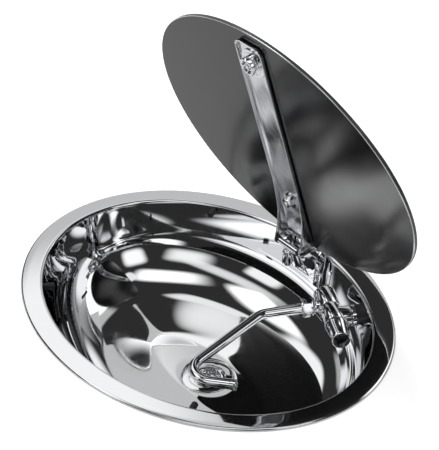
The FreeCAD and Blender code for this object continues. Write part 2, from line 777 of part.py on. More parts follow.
def make_hinge_bracket():
    half = dim.bracket_half
    arm_half = dim.arm_width / 2
    inner = arm_half + dim.washer_thick + dim.side_gap * 2
    pad = dim.hinge_pad
    plate_front = pad + dim.bracket_plate
    height = dim.bracket_bottom - dim.bracket_top
    bottom = -dim.bracket_bottom
    shapes = [hinge_box(-half, -plate_front, bottom, half * 2, dim.bracket_plate, height)]
    pin_local = hinge_place.inverse().multVec(vector(dim.hinge_offset, pin_back, pin_z))
    front = dim.cheek_depth
    for side in (-1, 1):
        start = inner if side > 0 else half * -1
        width = half - inner
        cheek = hinge_box(start, -front, bottom, width, front - pad, height)
        cheek = rounded(cheek, 2.5, front_edge_of_cheek)
        shapes.append(cheek)
        ear_front = pin_local.y - float(dim.eye_radius)
        ear_depth = -float(pad) - ear_front
        ear_height = float(dim.bracket_top) + pin_local.z
        top = dim.bracket_top * -1
        shapes.append(hinge_box(start, ear_front, top - 1, width, ear_depth, ear_height + 1))
        first = dim.hinge_offset + start
        shapes.append(cylinder(dim.eye_radius, width, along_x(first, pin_back, pin_z)))
    bracket = fuse(*shapes)
    holes = [cylinder(dim.pin_radius, 200, along_x(-100, pin_back, pin_z))]
    keep("hinge_bracket", cut(bracket, *holes, *hinge_screw_holes()))

    # Rubber behind the bracket and a backing plate outside, both shaped to the wall.
    slab = hinge_box(-half, -pad, bottom, half * 2, pad + 6, height)
    keep("hinge_pad", cut(common(slab, inner_form), *hinge_screw_holes()))
    outside = hinge_box(-half, half * -0.2, bottom, half * 2, half * 0.2 + 4, height)
    keep("hinge_backing", cut(outside, outer_form, *hinge_screw_holes()))

    screws = []
    nuts = []
    for index, (across, up) in enumerate(hinge_screws):
        on_plate = index == 1
        seat = -plate_front if on_plate else -front
        head = dim.middle_screw_head if on_plate else dim.hinge_screw_head
        shank = cylinder(dim.hinge_screw, 12 - seat, along_y(across, seat, up))
        dome = placed_dome(head, along_y(across, seat - dim.head_height, up))
        slots = []
        for quarter in range(2):
            slot = box(head * 1.1, dim.slot_width, dim.slot_width, at(head * -0.55, dim.slot_width * -0.5, 0))
            turn = along_y(across, seat - dim.head_height - 0.2, up).multiply(at(0, 0, 0, 90 * quarter))
            slot.Placement = turn.multiply(slot.Placement)
            slots.append(slot)
        screws.append(placed(hinge_place, cut(fuse(shank, dome), *slots)))
        nut = cut(
            prism(6, dim.hinge_nut_corner, dim.hinge_nut_height, along_y(across, 4, up)),
            cylinder(dim.hinge_screw + 0.01, 10, along_y(across, 1, up)),
        )
        nuts.append(placed(hinge_place, nut))
    keep("hinge_screws", group(*screws))
    keep("hinge_nuts", group(*nuts))

    # The pin, its caps, the washers beside the arm and the strip that the bar meets.
    middle = dim.hinge_offset
    pin_start = middle - half
    keep("hinge_pin", cylinder(dim.pin_radius, half * 2, along_x(pin_start, pin_back, pin_z)))
    caps = []
    for side in (-1, 1):
        outside_face = middle + half * side
        place = along_x(outside_face, pin_back, pin_z)
        if side < 0:
            place = place.multiply(FreeCAD.Placement(vector(0, 0, 0), flipped))
        caps.append(turned("PinCap", [
            (0, 0),
            (dim.pin_cap_radius, 0),
            (dim.pin_cap_radius, dim.pin_cap_length - 1.5),
            (dim.pin_cap_radius - 1.5, dim.pin_cap_length),
            (0, dim.pin_cap_length),
        ], place))
    keep("pin_caps", group(*caps))
    washers = []
    for side in (-1, 1):
        start = middle + (arm_half + dim.side_gap) * side
        if side < 0:
            start = start - dim.washer_thick
        place = along_x(start, pin_back, pin_z)
        washers.append(cut(
            cylinder(dim.eye_radius, dim.washer_thick, place),
            cylinder(dim.pin_radius + dim.running_gap, 4, along_x(start - 1, pin_back, pin_z)),
        ))
    keep("friction_washers", group(*washers))
    stop_front = (plate_front + dim.stop_thick) * -1
    bush_inner = arm_half - dim.arm_sheet - dim.bush_length
    stop_length = bush_inner - dim.stop_end_gap - dim.stop_start
    keep("bar_stop", hinge_box(
        dim.stop_start, stop_front, -dim.stop_bottom, stop_length, dim.stop_thick, dim.stop_height))


flipped = FreeCAD.Rotation(vector(1, 0, 0), 180)


def placed_dome(radius, place):
    # Low domed head: a squat cone with a flat crown.
    dome = doc.addObject("Part::Cone", "Dome")
    bind(dome, "Radius1", radius * 0.62)
    bind(dome, "Radius2", radius)
    crown = dim.head_height - 1
    bind(dome, "Height", crown)
    rim = cylinder(radius, 1, at(0, 0, crown))
    head = fuse(dome, rim)
    head.Placement = place
    return head


def front_edge_of_cheek(edge):
    bounds = edge.BoundBox
    tall = bounds.ZLength > 20
    front = bounds.YMin < float(half_width - dim.cheek_edge_inset)
    return tall and front


def make_lid():
    under = rim_top - dim.lid_drop
    glass = oval_plate(
        mouth_length - dim.lid_gap_ends, mouth_width - dim.lid_gap_sides, under, dim.glass_thick)
    glass = bevelled(glass, dim.glass_chamfer, lambda edge: edge.BoundBox.ZLength < 0.5)
    holes = []
    for place_y in (front_fix, rear_fix):
        hole = cylinder(dim.sleeve_radius + dim.running_gap, 20, at(dim.hinge_offset, place_y, under - 5))
        holes.append(hole)
    keep_lid("lid_glass", cut(glass, *holes))

    # Polished channel: a shallow tray whose sides deepen towards the hinge.
    web_top = under - dim.pad_thick
    side_foot = web_top - dim.arm_sheet - dim.arm_side
    half = dim.arm_width / 2
    length = arm_front + arm_rear
    tray_height = dim.arm_sheet + dim.arm_side
    tray = box(dim.arm_width, length, tray_height, at(
        dim.hinge_offset - half, -arm_front, side_foot))
    tray = rounded(tray, dim.arm_corner, front_corner)
    inner = box(dim.arm_width - dim.arm_sheet * 2, length + 20, dim.arm_side + 5, at(
        dim.hinge_offset - half + dim.arm_sheet, dim.arm_sheet - arm_front, side_foot - 5))
    inner = rounded(inner, dim.arm_corner - dim.arm_sheet, front_corner)
    side_top = dim.lid_drop + dim.pad_thick
    knee_drop = side_top + dim.arm_sheet + dim.arm_side
    bar_down = dim.cross_down
    tab = dim.cross_tab
    plates = []
    for side in (-1, 1):
        start = half - dim.arm_sheet if side > 0 else half * -1
        outline = [
            (arm_knee * -1, side_top * -1),
            (arm_knee * -1, knee_drop * -1),
            (arm_knee * 1, knee_drop * -1),
            (bar_back - tab * 0.6, (bar_down + tab * 0.8) * -1),
            (bar_back + tab * 0.6, (bar_down + tab * 0.8) * -1),
            (bar_back + tab, bar_down * -1),
            (pin_back - 6.8, -12),
            (pin_back + dim.eye_radius * 0.35, dim.pin_up - dim.eye_radius * 0.93),
            (pin_back - dim.eye_radius, dim.pin_up * 1),
            (pin_back - dim.eye_radius - 1.4, side_top * -1),
        ]
        plate = cut_from_plate("ArmSide", outline, dim.arm_sheet, FreeCAD.Placement(
            vector(dim.hinge_offset + start, 0, rim_top), upright), "XY_Plane")
        first = dim.hinge_offset + start
        eye = cylinder(dim.eye_radius, dim.arm_sheet, along_x(first, pin_back, pin_z))
        toe = cylinder(tab, dim.arm_sheet, along_x(first, bar_back, rim_top - bar_down))
        plates.extend([plate, eye, toe])
    arm = fuse(cut(tray, inner), *plates)
    bores = [
        cylinder(dim.pin_radius + dim.running_gap, 100, along_x(-58, pin_back, pin_z)),
        cylinder(dim.cross_bolt, 100, along_x(-58, bar_back, rim_top - bar_down)),
    ]
    for place_y in (front_fix, rear_fix):
        bores.append(cylinder(dim.stud_radius + dim.stud_play, 20, at(
            dim.hinge_offset, place_y, web_top - 10)))
    keep_lid("lid_arm", cut(arm, *bores))

    pads = []
    for place_y, radius in ((front_fix, front_disc), (rear_fix, front_disc)):
        place = at(dim.hinge_offset, place_y, web_top)
        pads.append(cut(
            cylinder(radius, dim.pad_thick, place),
            cylinder(dim.stud_radius + dim.stud_play, 4, at(dim.hinge_offset, place_y, web_top - 1)),
        ))
    keep_lid("arm_pads", group(*pads))

    web_foot = web_top - dim.arm_sheet
    sleeves = []
    caps = []
    washers = (("front_washer", front_fix, front_disc), ("rear_washer", rear_fix, dim.rear_disc))
    for name, place_y, radius in washers:
        disc_foot = web_foot - dim.disc_thick
        keep_lid(name, cut(
            cylinder(radius, dim.disc_thick, at(dim.hinge_offset, place_y, disc_foot)),
            cylinder(dim.stud_radius + dim.stud_play, 8, at(dim.hinge_offset, place_y, disc_foot - 2)),
        ))
        sleeves.append(cut(
            cylinder(dim.sleeve_radius, dim.glass_thick, at(dim.hinge_offset, place_y, under)),
            cylinder(dim.stud_radius + 0.05, 20, at(dim.hinge_offset, place_y, under - 4)),
        ))
        caps.append(fuse(
            turned("LidCap", [
                (0, 0),
                (dim.cap_radius, 0),
                (dim.cap_radius, 1),
                (dim.cap_radius - 2.5, dim.cap_height),
                (0, dim.cap_height),
            ], at(dim.hinge_offset, place_y, under + dim.glass_thick)),
            cylinder(dim.stud_radius, dim.glass_thick + dim.stud_reach, at(
                dim.hinge_offset, place_y, under - dim.stud_reach)),
        ))
    keep_lid("glass_sleeves", group(*sleeves))
    keep_lid("lid_caps", group(*caps))
    nuts = (
        ("front_nut", front_fix, dim.front_boss, dim.front_boss_height, dim.front_recess),
        ("rear_nut", rear_fix, dim.rear_boss, dim.rear_boss_height, dim.rear_boss * 0.45),
    )
    for name, place_y, radius, height, recess in nuts:
        keep_lid(name, cut(
            turned("Nut", [
                (0, 0),
                (radius - 1, 0),
                (radius, 1),
                (radius, height),
                (0, height),
            ], at(dim.hinge_offset, place_y, web_foot - dim.disc_thick - height)),
            cylinder(recess, height * 0.5, at(
                dim.hinge_offset, place_y, web_foot - dim.disc_thick - height)),
            cylinder(dim.stud_radius + 0.01, 30, at(dim.hinge_offset, place_y, web_foot - 15)),
        ))

    bar_z = rim_top - bar_down
    first = dim.hinge_offset - half + dim.arm_sheet
    span = dim.arm_width - dim.arm_sheet * 2
    bushes = []
    for start in (first, first + span - dim.bush_length):
        bushes.append(cut(
            cylinder(dim.bush_radius, dim.bush_length, along_x(start, bar_back, bar_z)),
            cylinder(dim.cross_bolt + 0.01, 20, along_x(start - 5, bar_back, bar_z)),
        ))
    keep_lid("bar_bushes", group(*bushes))
    keep_lid("cross_bar", cut(
        cylinder(dim.cross_radius, span - dim.bush_length * 2, along_x(
            first + dim.bush_length, bar_back, bar_z)),
        cylinder(dim.cross_bolt + 0.01, 80, along_x(first - 5, bar_back, bar_z)),
    ))
    keep_lid("cross_rivet", cylinder(dim.cross_bolt, dim.arm_width, along_x(
        dim.hinge_offset - half, bar_back, bar_z)))


upright = FreeCAD.Rotation(vector(0, 1, 0), vector(0, 0, 1), vector(1, 0, 0), "ZXY")


def front_corner(edge):
    bounds = edge.BoundBox
    return bounds.YLength < 0.1 and bounds.XLength < 0.1 and bounds.YMax < 0


def keep_lid(label, feature):
    # Every lid piece is drawn shut and then swung open with the lid.
    feature.Placement = open_place.multiply(feature.Placement)
    return keep(label, feature)


def tap_round(radius, start, length):
    return cylinder(radius, length, along_x(start, 0, 0))


def keep_tap(label, feature):
    return keep(label, placed(tap_place, feature))


def make_tap_body():
    gap = dim.seam_gap
    start = dim.collar_end + gap
    length = dim.body_end - start
    shell = tap_round(dim.body_radius, start, length)
    core = tap_round(dim.core_radius, dim.far_end * -1 + 5, dim.far_end + start)
    shank = cylinder(dim.shank_radius, dim.shank_length, along_y(dim.shank_along, 0, 0))
    branch = cylinder(dim.branch_radius, dim.rose_start - dim.side_gap, along_y(dim.shank_along, 0, 0))
    tail = cylinder(dim.inlet_radius, dim.inlet_length + 10, along_y(
        dim.shank_along, dim.shank_length - 10, 0))
    body = fuse(shell, core, branch, shank, tail)
    chamber = tap_round(dim.valve_radius, dim.body_end - dim.valve_length, dim.valve_length + 5)
    water = tap_round(dim.shank_bore, -2, dim.body_end)
    port = cylinder(2.5, 30, against_y(0, 0, 0))
    feed = cylinder(dim.shank_bore - 1.5, 140, along_y(dim.shank_along, 0, 0))
    fixing = tap_round(2, dim.far_end * -1, 14)
    grooves = []
    for centre in (-7, 7):
        grooves.append(cut(
            tap_round(dim.core_radius + 1, centre - 1, 2),
            tap_round(dim.core_radius - 1.9, centre - 2, 4),
        ))
    keep_tap("tap_body", cut(body, chamber, water, port, feed, fixing, *grooves))
    rings = []
    for centre in (-7, 7):
        rings.append(ring(dim.core_radius - 0.95, 0.9, along_x(centre, 0, 0)))
    keep_tap("collar_seals", group(*rings))


def make_tap_collar():
    shell = tap_round(dim.body_radius, dim.far_end * -1, dim.far_end + dim.collar_end)
    neck = cylinder(dim.neck_radius, dim.neck_length, against_y(0, 0, 0))
    bore = tap_round(dim.core_radius + dim.running_gap, dim.far_end * -1 + 4.2, 60)
    end_pocket = tap_round(dim.body_radius - 3, dim.far_end * -1 - 1, 4)
    screw_way = tap_round(2.2, -30, 30)
    water = cylinder(dim.shank_bore, 60, against_y(0, -8, 0))
    keep_tap("tap_collar", cut(fuse(shell, neck), bore, end_pocket, screw_way, water))
    head = tap_round(4.5, dim.far_end * -1 + 0.5, 2.4)
    stem = tap_round(1.98, dim.far_end * -1 + 1, 10)
    socket = prism(6, 1.8, 2, along_x(dim.far_end * -1, 0, 0))
    keep_tap("collar_screw", cut(fuse(head, stem), socket))
    keep_tap("collar_cap", turned_along_x("CollarCap", [
        (0, 0),
        (dim.body_radius - 4.5, 0),
        (dim.body_radius - 3.05, 1.2),
        (dim.body_radius - 3.05, 1.8),
        (dim.body_radius - 4, 3.2),
        (dim.body_radius - 5, 3.2),
        (dim.body_radius - 5, 2.4),
        (0, 2.4),
    ], dim.far_end * -1 - 2.0))


def turned_along_x(name, points, start):
    return turned(name, points, along_x(start, 0, 0))


def make_valve():
    start = dim.body_end - dim.valve_length
    outer = tap_round(dim.valve_radius - 0.02, start + 0.2, dim.valve_length - 0.2)
    bore = tap_round(dim.spindle_radius + dim.running_gap, start - 1, dim.valve_length + 5)
    keep_tap("valve_cartridge", cut(outer, bore))
    spindle = tap_round(dim.spindle_radius, start + 1, dim.valve_length - 1 + dim.spindle_reach)
    thread = tap_round(dim.knob_screw, dim.body_end + dim.spindle_reach - 10, 20)
    keep_tap("valve_spindle", cut(spindle, thread))


def make_knob():
    start = dim.body_end + dim.seam_gap
    length = dim.knob_end - start
    knob = turned_along_x("Knob", [
        (0, 0),
        (dim.body_radius, 0),
        (dim.knob_base, 1.5),
        (dim.knob_base, 5),
        (dim.knob_tip + 1.5, length - 5),
        (dim.knob_tip, length - 1),
        (dim.knob_tip - 1, length),
        (0, length),
    ], start)
    tools = []
    flutes = int(float(dim.flute_count))
    for step in range(flutes):
        angle = 360 / flutes * (step + 0.5)
        spin = FreeCAD.Placement(vector(0, 0, 0), FreeCAD.Rotation(vector(1, 0, 0), angle))
        flute = cylinder(dim.flute_radius, 60, along_x(start + 5, dim.knob_base + dim.flute_out, 0))
        flute.Placement = spin.multiply(flute.Placement)
        tools.append(flute)
    tools.append(tap_round(dim.spindle_radius, start - 5, dim.spindle_reach + 5 - dim.seam_gap))
    tools.append(tap_round(dim.knob_cap - 1.5, dim.knob_end - 3, 10))
    tools.append(tap_round(dim.knob_screw + 0.1, start, 40))
    index_spin = FreeCAD.Placement(vector(0, 0, 0), FreeCAD.Rotation(vector(1, 0, 0), float(dim.index_turn)))
    spot = cylinder(dim.index_radius + dim.running_gap, 6, against_y(start + 3.2, dim.knob_base * -1 + 4, 0))
    spot.Placement = index_spin.multiply(spot.Placement)
    tools.append(spot)
    keep_tap("tap_knob", cut(knob, *tools))
    index = cylinder(dim.index_radius, 4.2, against_y(start + 3.2, dim.knob_base * -1 + 4, 0))
    index.Placement = index_spin.multiply(index.Placement)
    keep_tap("cold_index", index)
    screw_start = dim.body_end + dim.spindle_reach - 8
    keep_tap("knob_screw", fuse(
        tap_round(dim.knob_screw, screw_start, dim.knob_end - 3 - screw_start),
        tap_round(4.5, dim.knob_end - 3, 2.2),
    ))
    keep_tap("knob_cap", turned_along_x("KnobCap", [
        (dim.knob_cap - 3.5, 0),
        (dim.knob_cap - 1.6, 0),
        (dim.knob_cap - 1.6, 3),
        (dim.knob_cap, 3),
        (dim.knob_cap, 4),
        (dim.knob_cap - 1.5, 3 + dim.knob_cap_dome),
        (0, 3.8 + dim.knob_cap_dome),
        (0, 3),
        (dim.knob_cap - 3.5, 3),
    ], dim.knob_end - 3))


def make_tap_fixing():
    # Rose, seals and backnut on the threaded shank, shaped to the wall they squeeze.
    frame = along_y(dim.shank_along, 0, 0)
    bore = dim.shank_radius + dim.running_gap
    rose = cylinder(dim.rose_radius, dim.rose_thick, frame.multiply(at(0, 0, dim.rose_start)))
    front = float(dim.rose_start) + 1
    rose = rounded(rose, 2, lambda edge: edge.Length > 40 and edge.BoundBox.YMax < front)
    keep_tap("tap_rose", cut(rose, cylinder(bore, 60, frame)))
    seal_start = dim.rose_start + dim.rose_thick
    blank = placed(tap_place, cylinder(dim.rose_radius - 1, 30, frame.multiply(at(0, 0, seal_start))))
    hole = placed(tap_place, cylinder(bore, 90, frame))
    keep("tap_inner_seal", cut(common(blank, inner_form), hole))
    back_start = dim.back_start
    block = placed(tap_place, cylinder(
        dim.rose_radius, 16, frame.multiply(at(0, 0, back_start - 16))))
    back_hole = placed(tap_place, cylinder(bore, 90, frame))
    keep("tap_outer_seal", cut(block, outer_form, back_hole))
    washer = cut(
        cylinder(dim.rose_radius + 1, dim.shank_washer, frame.multiply(at(0, 0, back_start))),
        cylinder(bore, 90, frame),
    )
    keep_tap("tap_washer", washer)
    nut = cut(
        prism(6, dim.shank_nut_radius, dim.shank_nut_height, frame.multiply(
            at(0, 0, back_start + dim.shank_washer))),
        cylinder(bore, 90, frame),
    )
    keep_tap("tap_backnut", nut)


def spout_spine():
    # Centre line in the tap frame: run, bend, run, hook, run.
    heading = -math.pi / 2
    point = (0.0, -float(dim.neck_length) - 2.5)
    corner = (0.0, -float(dim.first_run))
    legs = [
        (math.radians(float(dim.bend_turn)), float(dim.bend_radius), float(dim.second_run)),
        (math.radians(float(dim.hook_turn)), float(dim.hook_radius), float(dim.last_run)),
    ]
    edges = []
    for turn, radius, run in legs:
        reach = radius * math.tan(turn / 2)
        before = (corner[0] - reach * math.cos(heading), corner[1] - reach * math.sin(heading))
        centre = (before[0] - radius * math.sin(heading), before[1] + radius * math.cos(heading))
        halfway = heading + turn / 2
        middle = (centre[0] + radius * math.sin(halfway), centre[1] - radius * math.cos(halfway))
        heading = heading + turn
        after = (centre[0] + radius * math.sin(heading), centre[1] - radius * math.cos(heading))
        edges.append(Part.LineSegment(vector(*point, 0), vector(*before, 0)).toShape())
        arc = Part.Arc(vector(*before, 0), vector(*middle, 0), vector(*after, 0))
        edges.append(arc.toShape())
        corner = (corner[0] + run * math.cos(heading), corner[1] + run * math.sin(heading))
        point = after
    edges.append(Part.LineSegment(vector(*point, 0), vector(*corner, 0)).toShape())
    spine = doc.addObject("Part::Feature", "SpoutLine")
    spine.Shape = Part.Wire(edges)
    return spine, corner, heading


def swept_round(radius, spine):
    circle = doc.addObject("Part::Circle", "Section")
    bind(circle, "Radius", radius)
    circle.Placement = against_y(0, dim.neck_length * -1 - 2.5, 0)
    sweep = doc.addObject("Part::Sweep", "Tube")
    sweep.Sections = [circle]
    sweep.Spine = (spine, [f"Edge{number}" for number in range(1, len(spine.Shape.Edges) + 1)])
    sweep.Solid = True
    sweep.Transition = "Right corner"
    return sweep


def make_spout():
    spine, tip, heading = spout_spine()
    inner = dim.spout_radius - dim.spout_wall
    doc.recompute()
    tube = cut(swept_round(dim.spout_radius, spine), swept_round(inner, spine))
    shoulder = cut(
        cylinder(dim.neck_radius - 0.6, 3, against_y(0, dim.neck_length * -1 - 2.5, 0)),
        cylinder(inner, 10, against_y(0, dim.neck_length * -1, 0)),
    )
    keep_tap("spout_tube", fuse(tube, shoulder))
    tip_turn = FreeCAD.Rotation(vector(0, 0, 1), math.degrees(heading))
    tip_place = FreeCAD.Placement(vector(tip[0], tip[1], 0), tip_turn).multiply(along_x(0, 0, 0))
    outlet = turned("SpoutOutlet", [
        (inner - 1.2, 0.2),
        (dim.tip_radius, 0.2),
        (dim.tip_radius, dim.tip_length - 0.8),
        (dim.tip_radius - 0.8, dim.tip_length),
        (inner - 1.2, dim.tip_length),
    ], tip_place)
    keep_tap("spout_outlet", outlet)
    start = dim.neck_length - 6
    nut = prism(6, dim.nut_radius, dim.nut_length, against_y(0, start * -1, 0))
    ball = doc.addObject("Part::Sphere", "NutRounding")
    bind(ball, "Radius", dim.nut_radius * 1.04)
    ball.Placement = at(0, (start + dim.nut_length / 2) * -1, 0)
    blank = common(nut, ball)
    thread = cylinder(dim.neck_radius + 0.01, dim.neck_length + 6 - 0.1, against_y(0, 0, 0))
    way = cylinder(dim.spout_radius + dim.running_gap, 90, against_y(0, 0, 0))
    keep_tap("spout_nut", cut(blank, thread, way))
    keep_tap("spout_seal", cut(
        cylinder(dim.neck_radius - 1, 2.2, against_y(0, dim.neck_length * -1 - 0.1, 0)),
        cylinder(inner, 10, against_y(0, dim.neck_length * -1 + 2, 0)),
    ))


def make_clamps():
    # Welded tabs under the flange, each with a claw that its screw draws up.
    tabs = []
    claws = []
    screws = []
    count = int(float(dim.clamp_count))
    for step in range(count):
        angle = 2 * math.pi * (step + 0.5) / count
        outward = wall_outward(angle)
        spin = FreeCAD.Rotation(vector(1, 0, 0), outward)
        base = on_wall(angle, 0)
        frame = FreeCAD.Placement(vector(base.x, base.y, 0), spin)
        half = dim.clamp_width / 2
        foot = dim.clamp_drop * -1
        screw_x = dim.clamp_screw_out
        post = placed(frame, box(12, dim.clamp_width, dim.clamp_drop - 4, at(-8, -half, foot)))
        shelf = placed(frame, box(20, dim.clamp_width, dim.clamp_sheet, at(-10, -half, foot)))
        inside = placed(frame, box(30, dim.clamp_width + 2, dim.clamp_drop - 5.5, at(
            2.2, -half - 1, foot + dim.clamp_sheet)))
        screw_hole = placed(frame, cylinder(dim.clamp_screw + 0.3, 20, at(screw_x, 0, foot - 8)))
        tabs.append(cut(fuse(post, shelf), outer_form, inside, screw_hole))
        claw_foot = dim.worktop_thick * -1 - dim.claw_tooth
        claw_width = dim.clamp_width - 2
        plate = box(dim.clamp_reach, claw_width, dim.claw_thick, at(3, -half + 1, claw_foot))
        tooth = box(3, claw_width, dim.claw_tooth, at(dim.clamp_reach, -half + 1, claw_foot))
        claw_hole = cylinder(dim.clamp_screw + 0.01, 20, at(screw_x, 0, claw_foot - 6))
        claws.append(placed(frame, cut(fuse(plate, tooth), claw_hole)))
        shank = placed(frame, cylinder(dim.clamp_screw, 20, at(screw_x, 0, foot)))
        head = placed(frame, cylinder(dim.clamp_head, 3, at(screw_x, 0, foot - 3)))
        screws.append(fuse(shank, head))
    keep("clamp_tabs", group(*tabs))
    keep("clamp_claws", group(*claws))
    keep("clamp_screws", group(*screws))


make_bowl()
make_flange_gasket()
make_waste()
make_buffers()
make_hinge_bracket()
make_lid()
make_tap_body()
make_tap_collar()
make_valve()
make_knob()
make_tap_fixing()
make_spout()
make_clamps()

doc.recompute()
for feature in doc.Objects:
    if "Invalid" in feature.State or "Error" in feature.State:
        raise ValueError(f"{feature.Name} ({feature.Label}) failed: {feature.State}")
for node in nodes:
    if node.Shape.isNull() or not node.Shape.isValid() or not node.Shape.Solids:
        raise ValueError(f"{node.Label} has no valid solid")
for node in nodes:
    node.Shape.exportStep(f"parts/{node.Label}.step")
    print(f"{node.Label}: {len(node.Shape.Solids)} solids, {node.Shape.Volume:.1f} mm3")
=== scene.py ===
import json
import math

import bpy
from mathutils import Matrix, Vector


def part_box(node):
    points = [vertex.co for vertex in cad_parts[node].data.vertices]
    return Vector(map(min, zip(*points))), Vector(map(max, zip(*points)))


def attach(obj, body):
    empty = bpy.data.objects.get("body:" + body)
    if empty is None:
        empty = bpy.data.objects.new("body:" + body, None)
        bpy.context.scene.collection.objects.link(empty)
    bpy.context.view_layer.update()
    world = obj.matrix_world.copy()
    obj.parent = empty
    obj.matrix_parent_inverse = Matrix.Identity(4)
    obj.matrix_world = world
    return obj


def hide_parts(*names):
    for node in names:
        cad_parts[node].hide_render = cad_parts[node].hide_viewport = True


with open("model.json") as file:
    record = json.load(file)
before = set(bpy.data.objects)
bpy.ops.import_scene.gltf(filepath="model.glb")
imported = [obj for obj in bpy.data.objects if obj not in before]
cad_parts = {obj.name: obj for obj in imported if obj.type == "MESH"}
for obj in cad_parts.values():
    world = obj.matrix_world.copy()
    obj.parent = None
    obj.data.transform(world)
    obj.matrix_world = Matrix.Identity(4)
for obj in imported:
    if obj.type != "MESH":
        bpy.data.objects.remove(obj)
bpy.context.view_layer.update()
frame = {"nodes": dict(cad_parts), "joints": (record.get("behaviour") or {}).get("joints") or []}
nodes = frame["nodes"]
joints = {joint["name"]: joint for joint in frame["joints"]}

# Places taken from the frame, in metres. +X runs along the oval, +Y to the hinge, +Z up.
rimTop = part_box("bowl")[1].z
pin = Vector(joints["lid_hinge"]["pos_m"])
openAngle = -math.radians(joints["lid_hinge"]["range_deg"][0])
tapCentre = Vector(joints["tap_fold"]["pos_m"])
tapAlong = Vector(joints["tap_knob"]["axis"])

# Lid pieces are shaped shut and then swung open about the pin.
lidPlace = (Matrix.Translation(pin) @ Matrix.Rotation(-openAngle, 4, "X")
            @ Matrix.Translation(-pin))
# Tap pieces are shaped with X along the body, -Y out of the neck and Z up.
tapPlace = Matrix.Translation(tapCentre) @ Matrix.Rotation(math.atan2(tapAlong.y, tapAlong.x), 4, "Z")
zToX = Matrix.Rotation(math.radians(90), 4, "Y")
zToFront = Matrix.Rotation(math.radians(90), 4, "X")
mm = 0.001


def clearSelection():
    if bpy.context.object and bpy.context.object.mode != "OBJECT":
        bpy.ops.object.mode_set(mode="OBJECT")
    bpy.ops.object.select_all(action="DESELECT")


def pick(piece):
    clearSelection()
    piece.select_set(True)
    bpy.context.view_layer.objects.active = piece


def addModifier(piece, kind, **settings):
    pick(piece)
    modifier = piece.modifiers.new(kind.title(), kind)
    for setting, value in settings.items():
        setattr(modifier, setting, value)
    bpy.ops.object.modifier_apply(modifier=modifier.name)


def placePiece(piece, place):
    pick(piece)
    piece.matrix_world = place
    bpy.ops.object.transform_apply(location=True, rotation=True, scale=True)


def faceOut(piece):
    pick(piece)
    bpy.ops.object.mode_set(mode="EDIT")
    bpy.ops.mesh.select_all(action="SELECT")
    bpy.ops.mesh.remove_doubles(threshold=0.00001)
    bpy.ops.mesh.normals_make_consistent(inside=False)
    bpy.ops.object.mode_set(mode="OBJECT")


def faceUp(piece, chosen):
    # An open sheet is turned so that its chosen faces look up.
    faceOut(piece)
    up = sum(face.normal.z for face in piece.data.polygons if chosen(face.center))
    if up < 0:
        bpy.ops.object.mode_set(mode="EDIT")
        bpy.ops.mesh.flip_normals()
        bpy.ops.object.mode_set(mode="OBJECT")


def smooth(piece, degrees=35):
    pick(piece)
    bpy.ops.object.shade_smooth_by_angle(angle=math.radians(degrees))


def softenEdges(piece, width, segments=3, degrees=30):
    addModifier(piece, "BEVEL", width=width, segments=segments, limit_method="ANGLE",
                angle_limit=math.radians(degrees), use_clamp_overlap=True)


def growRings(name, rings, segments, closed=(True, True)):
    # A circle extruded ring by ring; each ring is (half size x, half size y, z).
    clearSelection()
    x, y, z = rings[0]
    bpy.ops.mesh.primitive_circle_add(vertices=segments, radius=1, location=(0, 0, 0))
    piece = bpy.context.object
    piece.name = name
    bpy.ops.object.mode_set(mode="EDIT")
    bpy.ops.mesh.select_mode(type="EDGE")
    bpy.ops.mesh.select_all(action="SELECT")
    bpy.ops.transform.resize(value=(x, y, 1), center_override=(0, 0, 0))
    bpy.ops.transform.translate(value=(0, 0, z))
    if closed[0]:
        bpy.ops.mesh.edge_face_add()
    for nextX, nextY, nextZ in rings[1:]:
        bpy.ops.mesh.extrude_edges_move(TRANSFORM_OT_translate={"value": (0, 0, nextZ - z)})
        bpy.ops.transform.resize(value=(nextX / x, nextY / y, 1), center_override=(0, 0, nextZ))
        x, y, z = nextX, nextY, nextZ
    if closed[1]:
        bpy.ops.mesh.edge_face_add()
    bpy.ops.object.mode_set(mode="OBJECT")
    faceOut(piece)
    return piece


def turned(name, profile, place, segments=48, closed=(True, True), degrees=35):
    # Lathe work: (radius, height) in millimetres along the place's own Z axis.
    rings = [(radius * mm, radius * mm, height * mm) for radius, height in profile]
    piece = growRings(name, rings, segments, closed)
    placePiece(piece, place)
    smooth(piece, degrees)
    return piece


def arcSteps(centre, radius, start, end, steps):
    # Points on a round from start to end degrees, as (across, up).
    points = []
    for step in range(steps + 1):
        angle = math.radians(start + (end - start) * step / steps)
        points.append((centre[0] + radius * math.cos(angle), centre[1] + radius * math.sin(angle)))
    return points


def fineCopy(node, name, edge=0.0003, degrees=30):
    # A CAD piece whose own shape is right: its mesh is merged and its edges are broken.
    piece = bpy.data.objects.new(name, nodes[node].data.copy())
    bpy.context.scene.collection.objects.link(piece)
    pick(piece)
    bpy.ops.object.mode_set(mode="EDIT")
    bpy.ops.mesh.select_all(action="SELECT")
    bpy.ops.mesh.remove_doubles(threshold=0.000002)
    bpy.ops.mesh.dissolve_limited(angle_limit=math.radians(1.5))
    bpy.ops.object.mode_set(mode="OBJECT")
    piece.data.materials.clear()
    if edge:
        softenEdges(piece, edge, segments=2, degrees=degrees)
    smooth(piece, 30)
    return piece


def finishPiece(piece, body, material, slot, *replaced):
    piece.data.materials.clear()
    piece.data.materials.append(material)
    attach(piece, body)
    if replaced:
        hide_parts(*replaced)


# Finishes.

def startMaterial(name):
    material = bpy.data.materials.new(name)
    material.use_nodes = True
    shader = material.node_tree.nodes["Principled BSDF"]
    place = material.node_tree.nodes.new("ShaderNodeTexCoord")
    return material, material.node_tree, shader, place.outputs["Object"]


def addNoise(tree, place, scale, detail=2.0):
    noise = tree.nodes.new("ShaderNodeTexNoise")
    noise.inputs["Scale"].default_value = scale
    noise.inputs["Detail"].default_value = detail
    tree.links.new(place, noise.inputs["Vector"])
    return noise.outputs["Fac"]


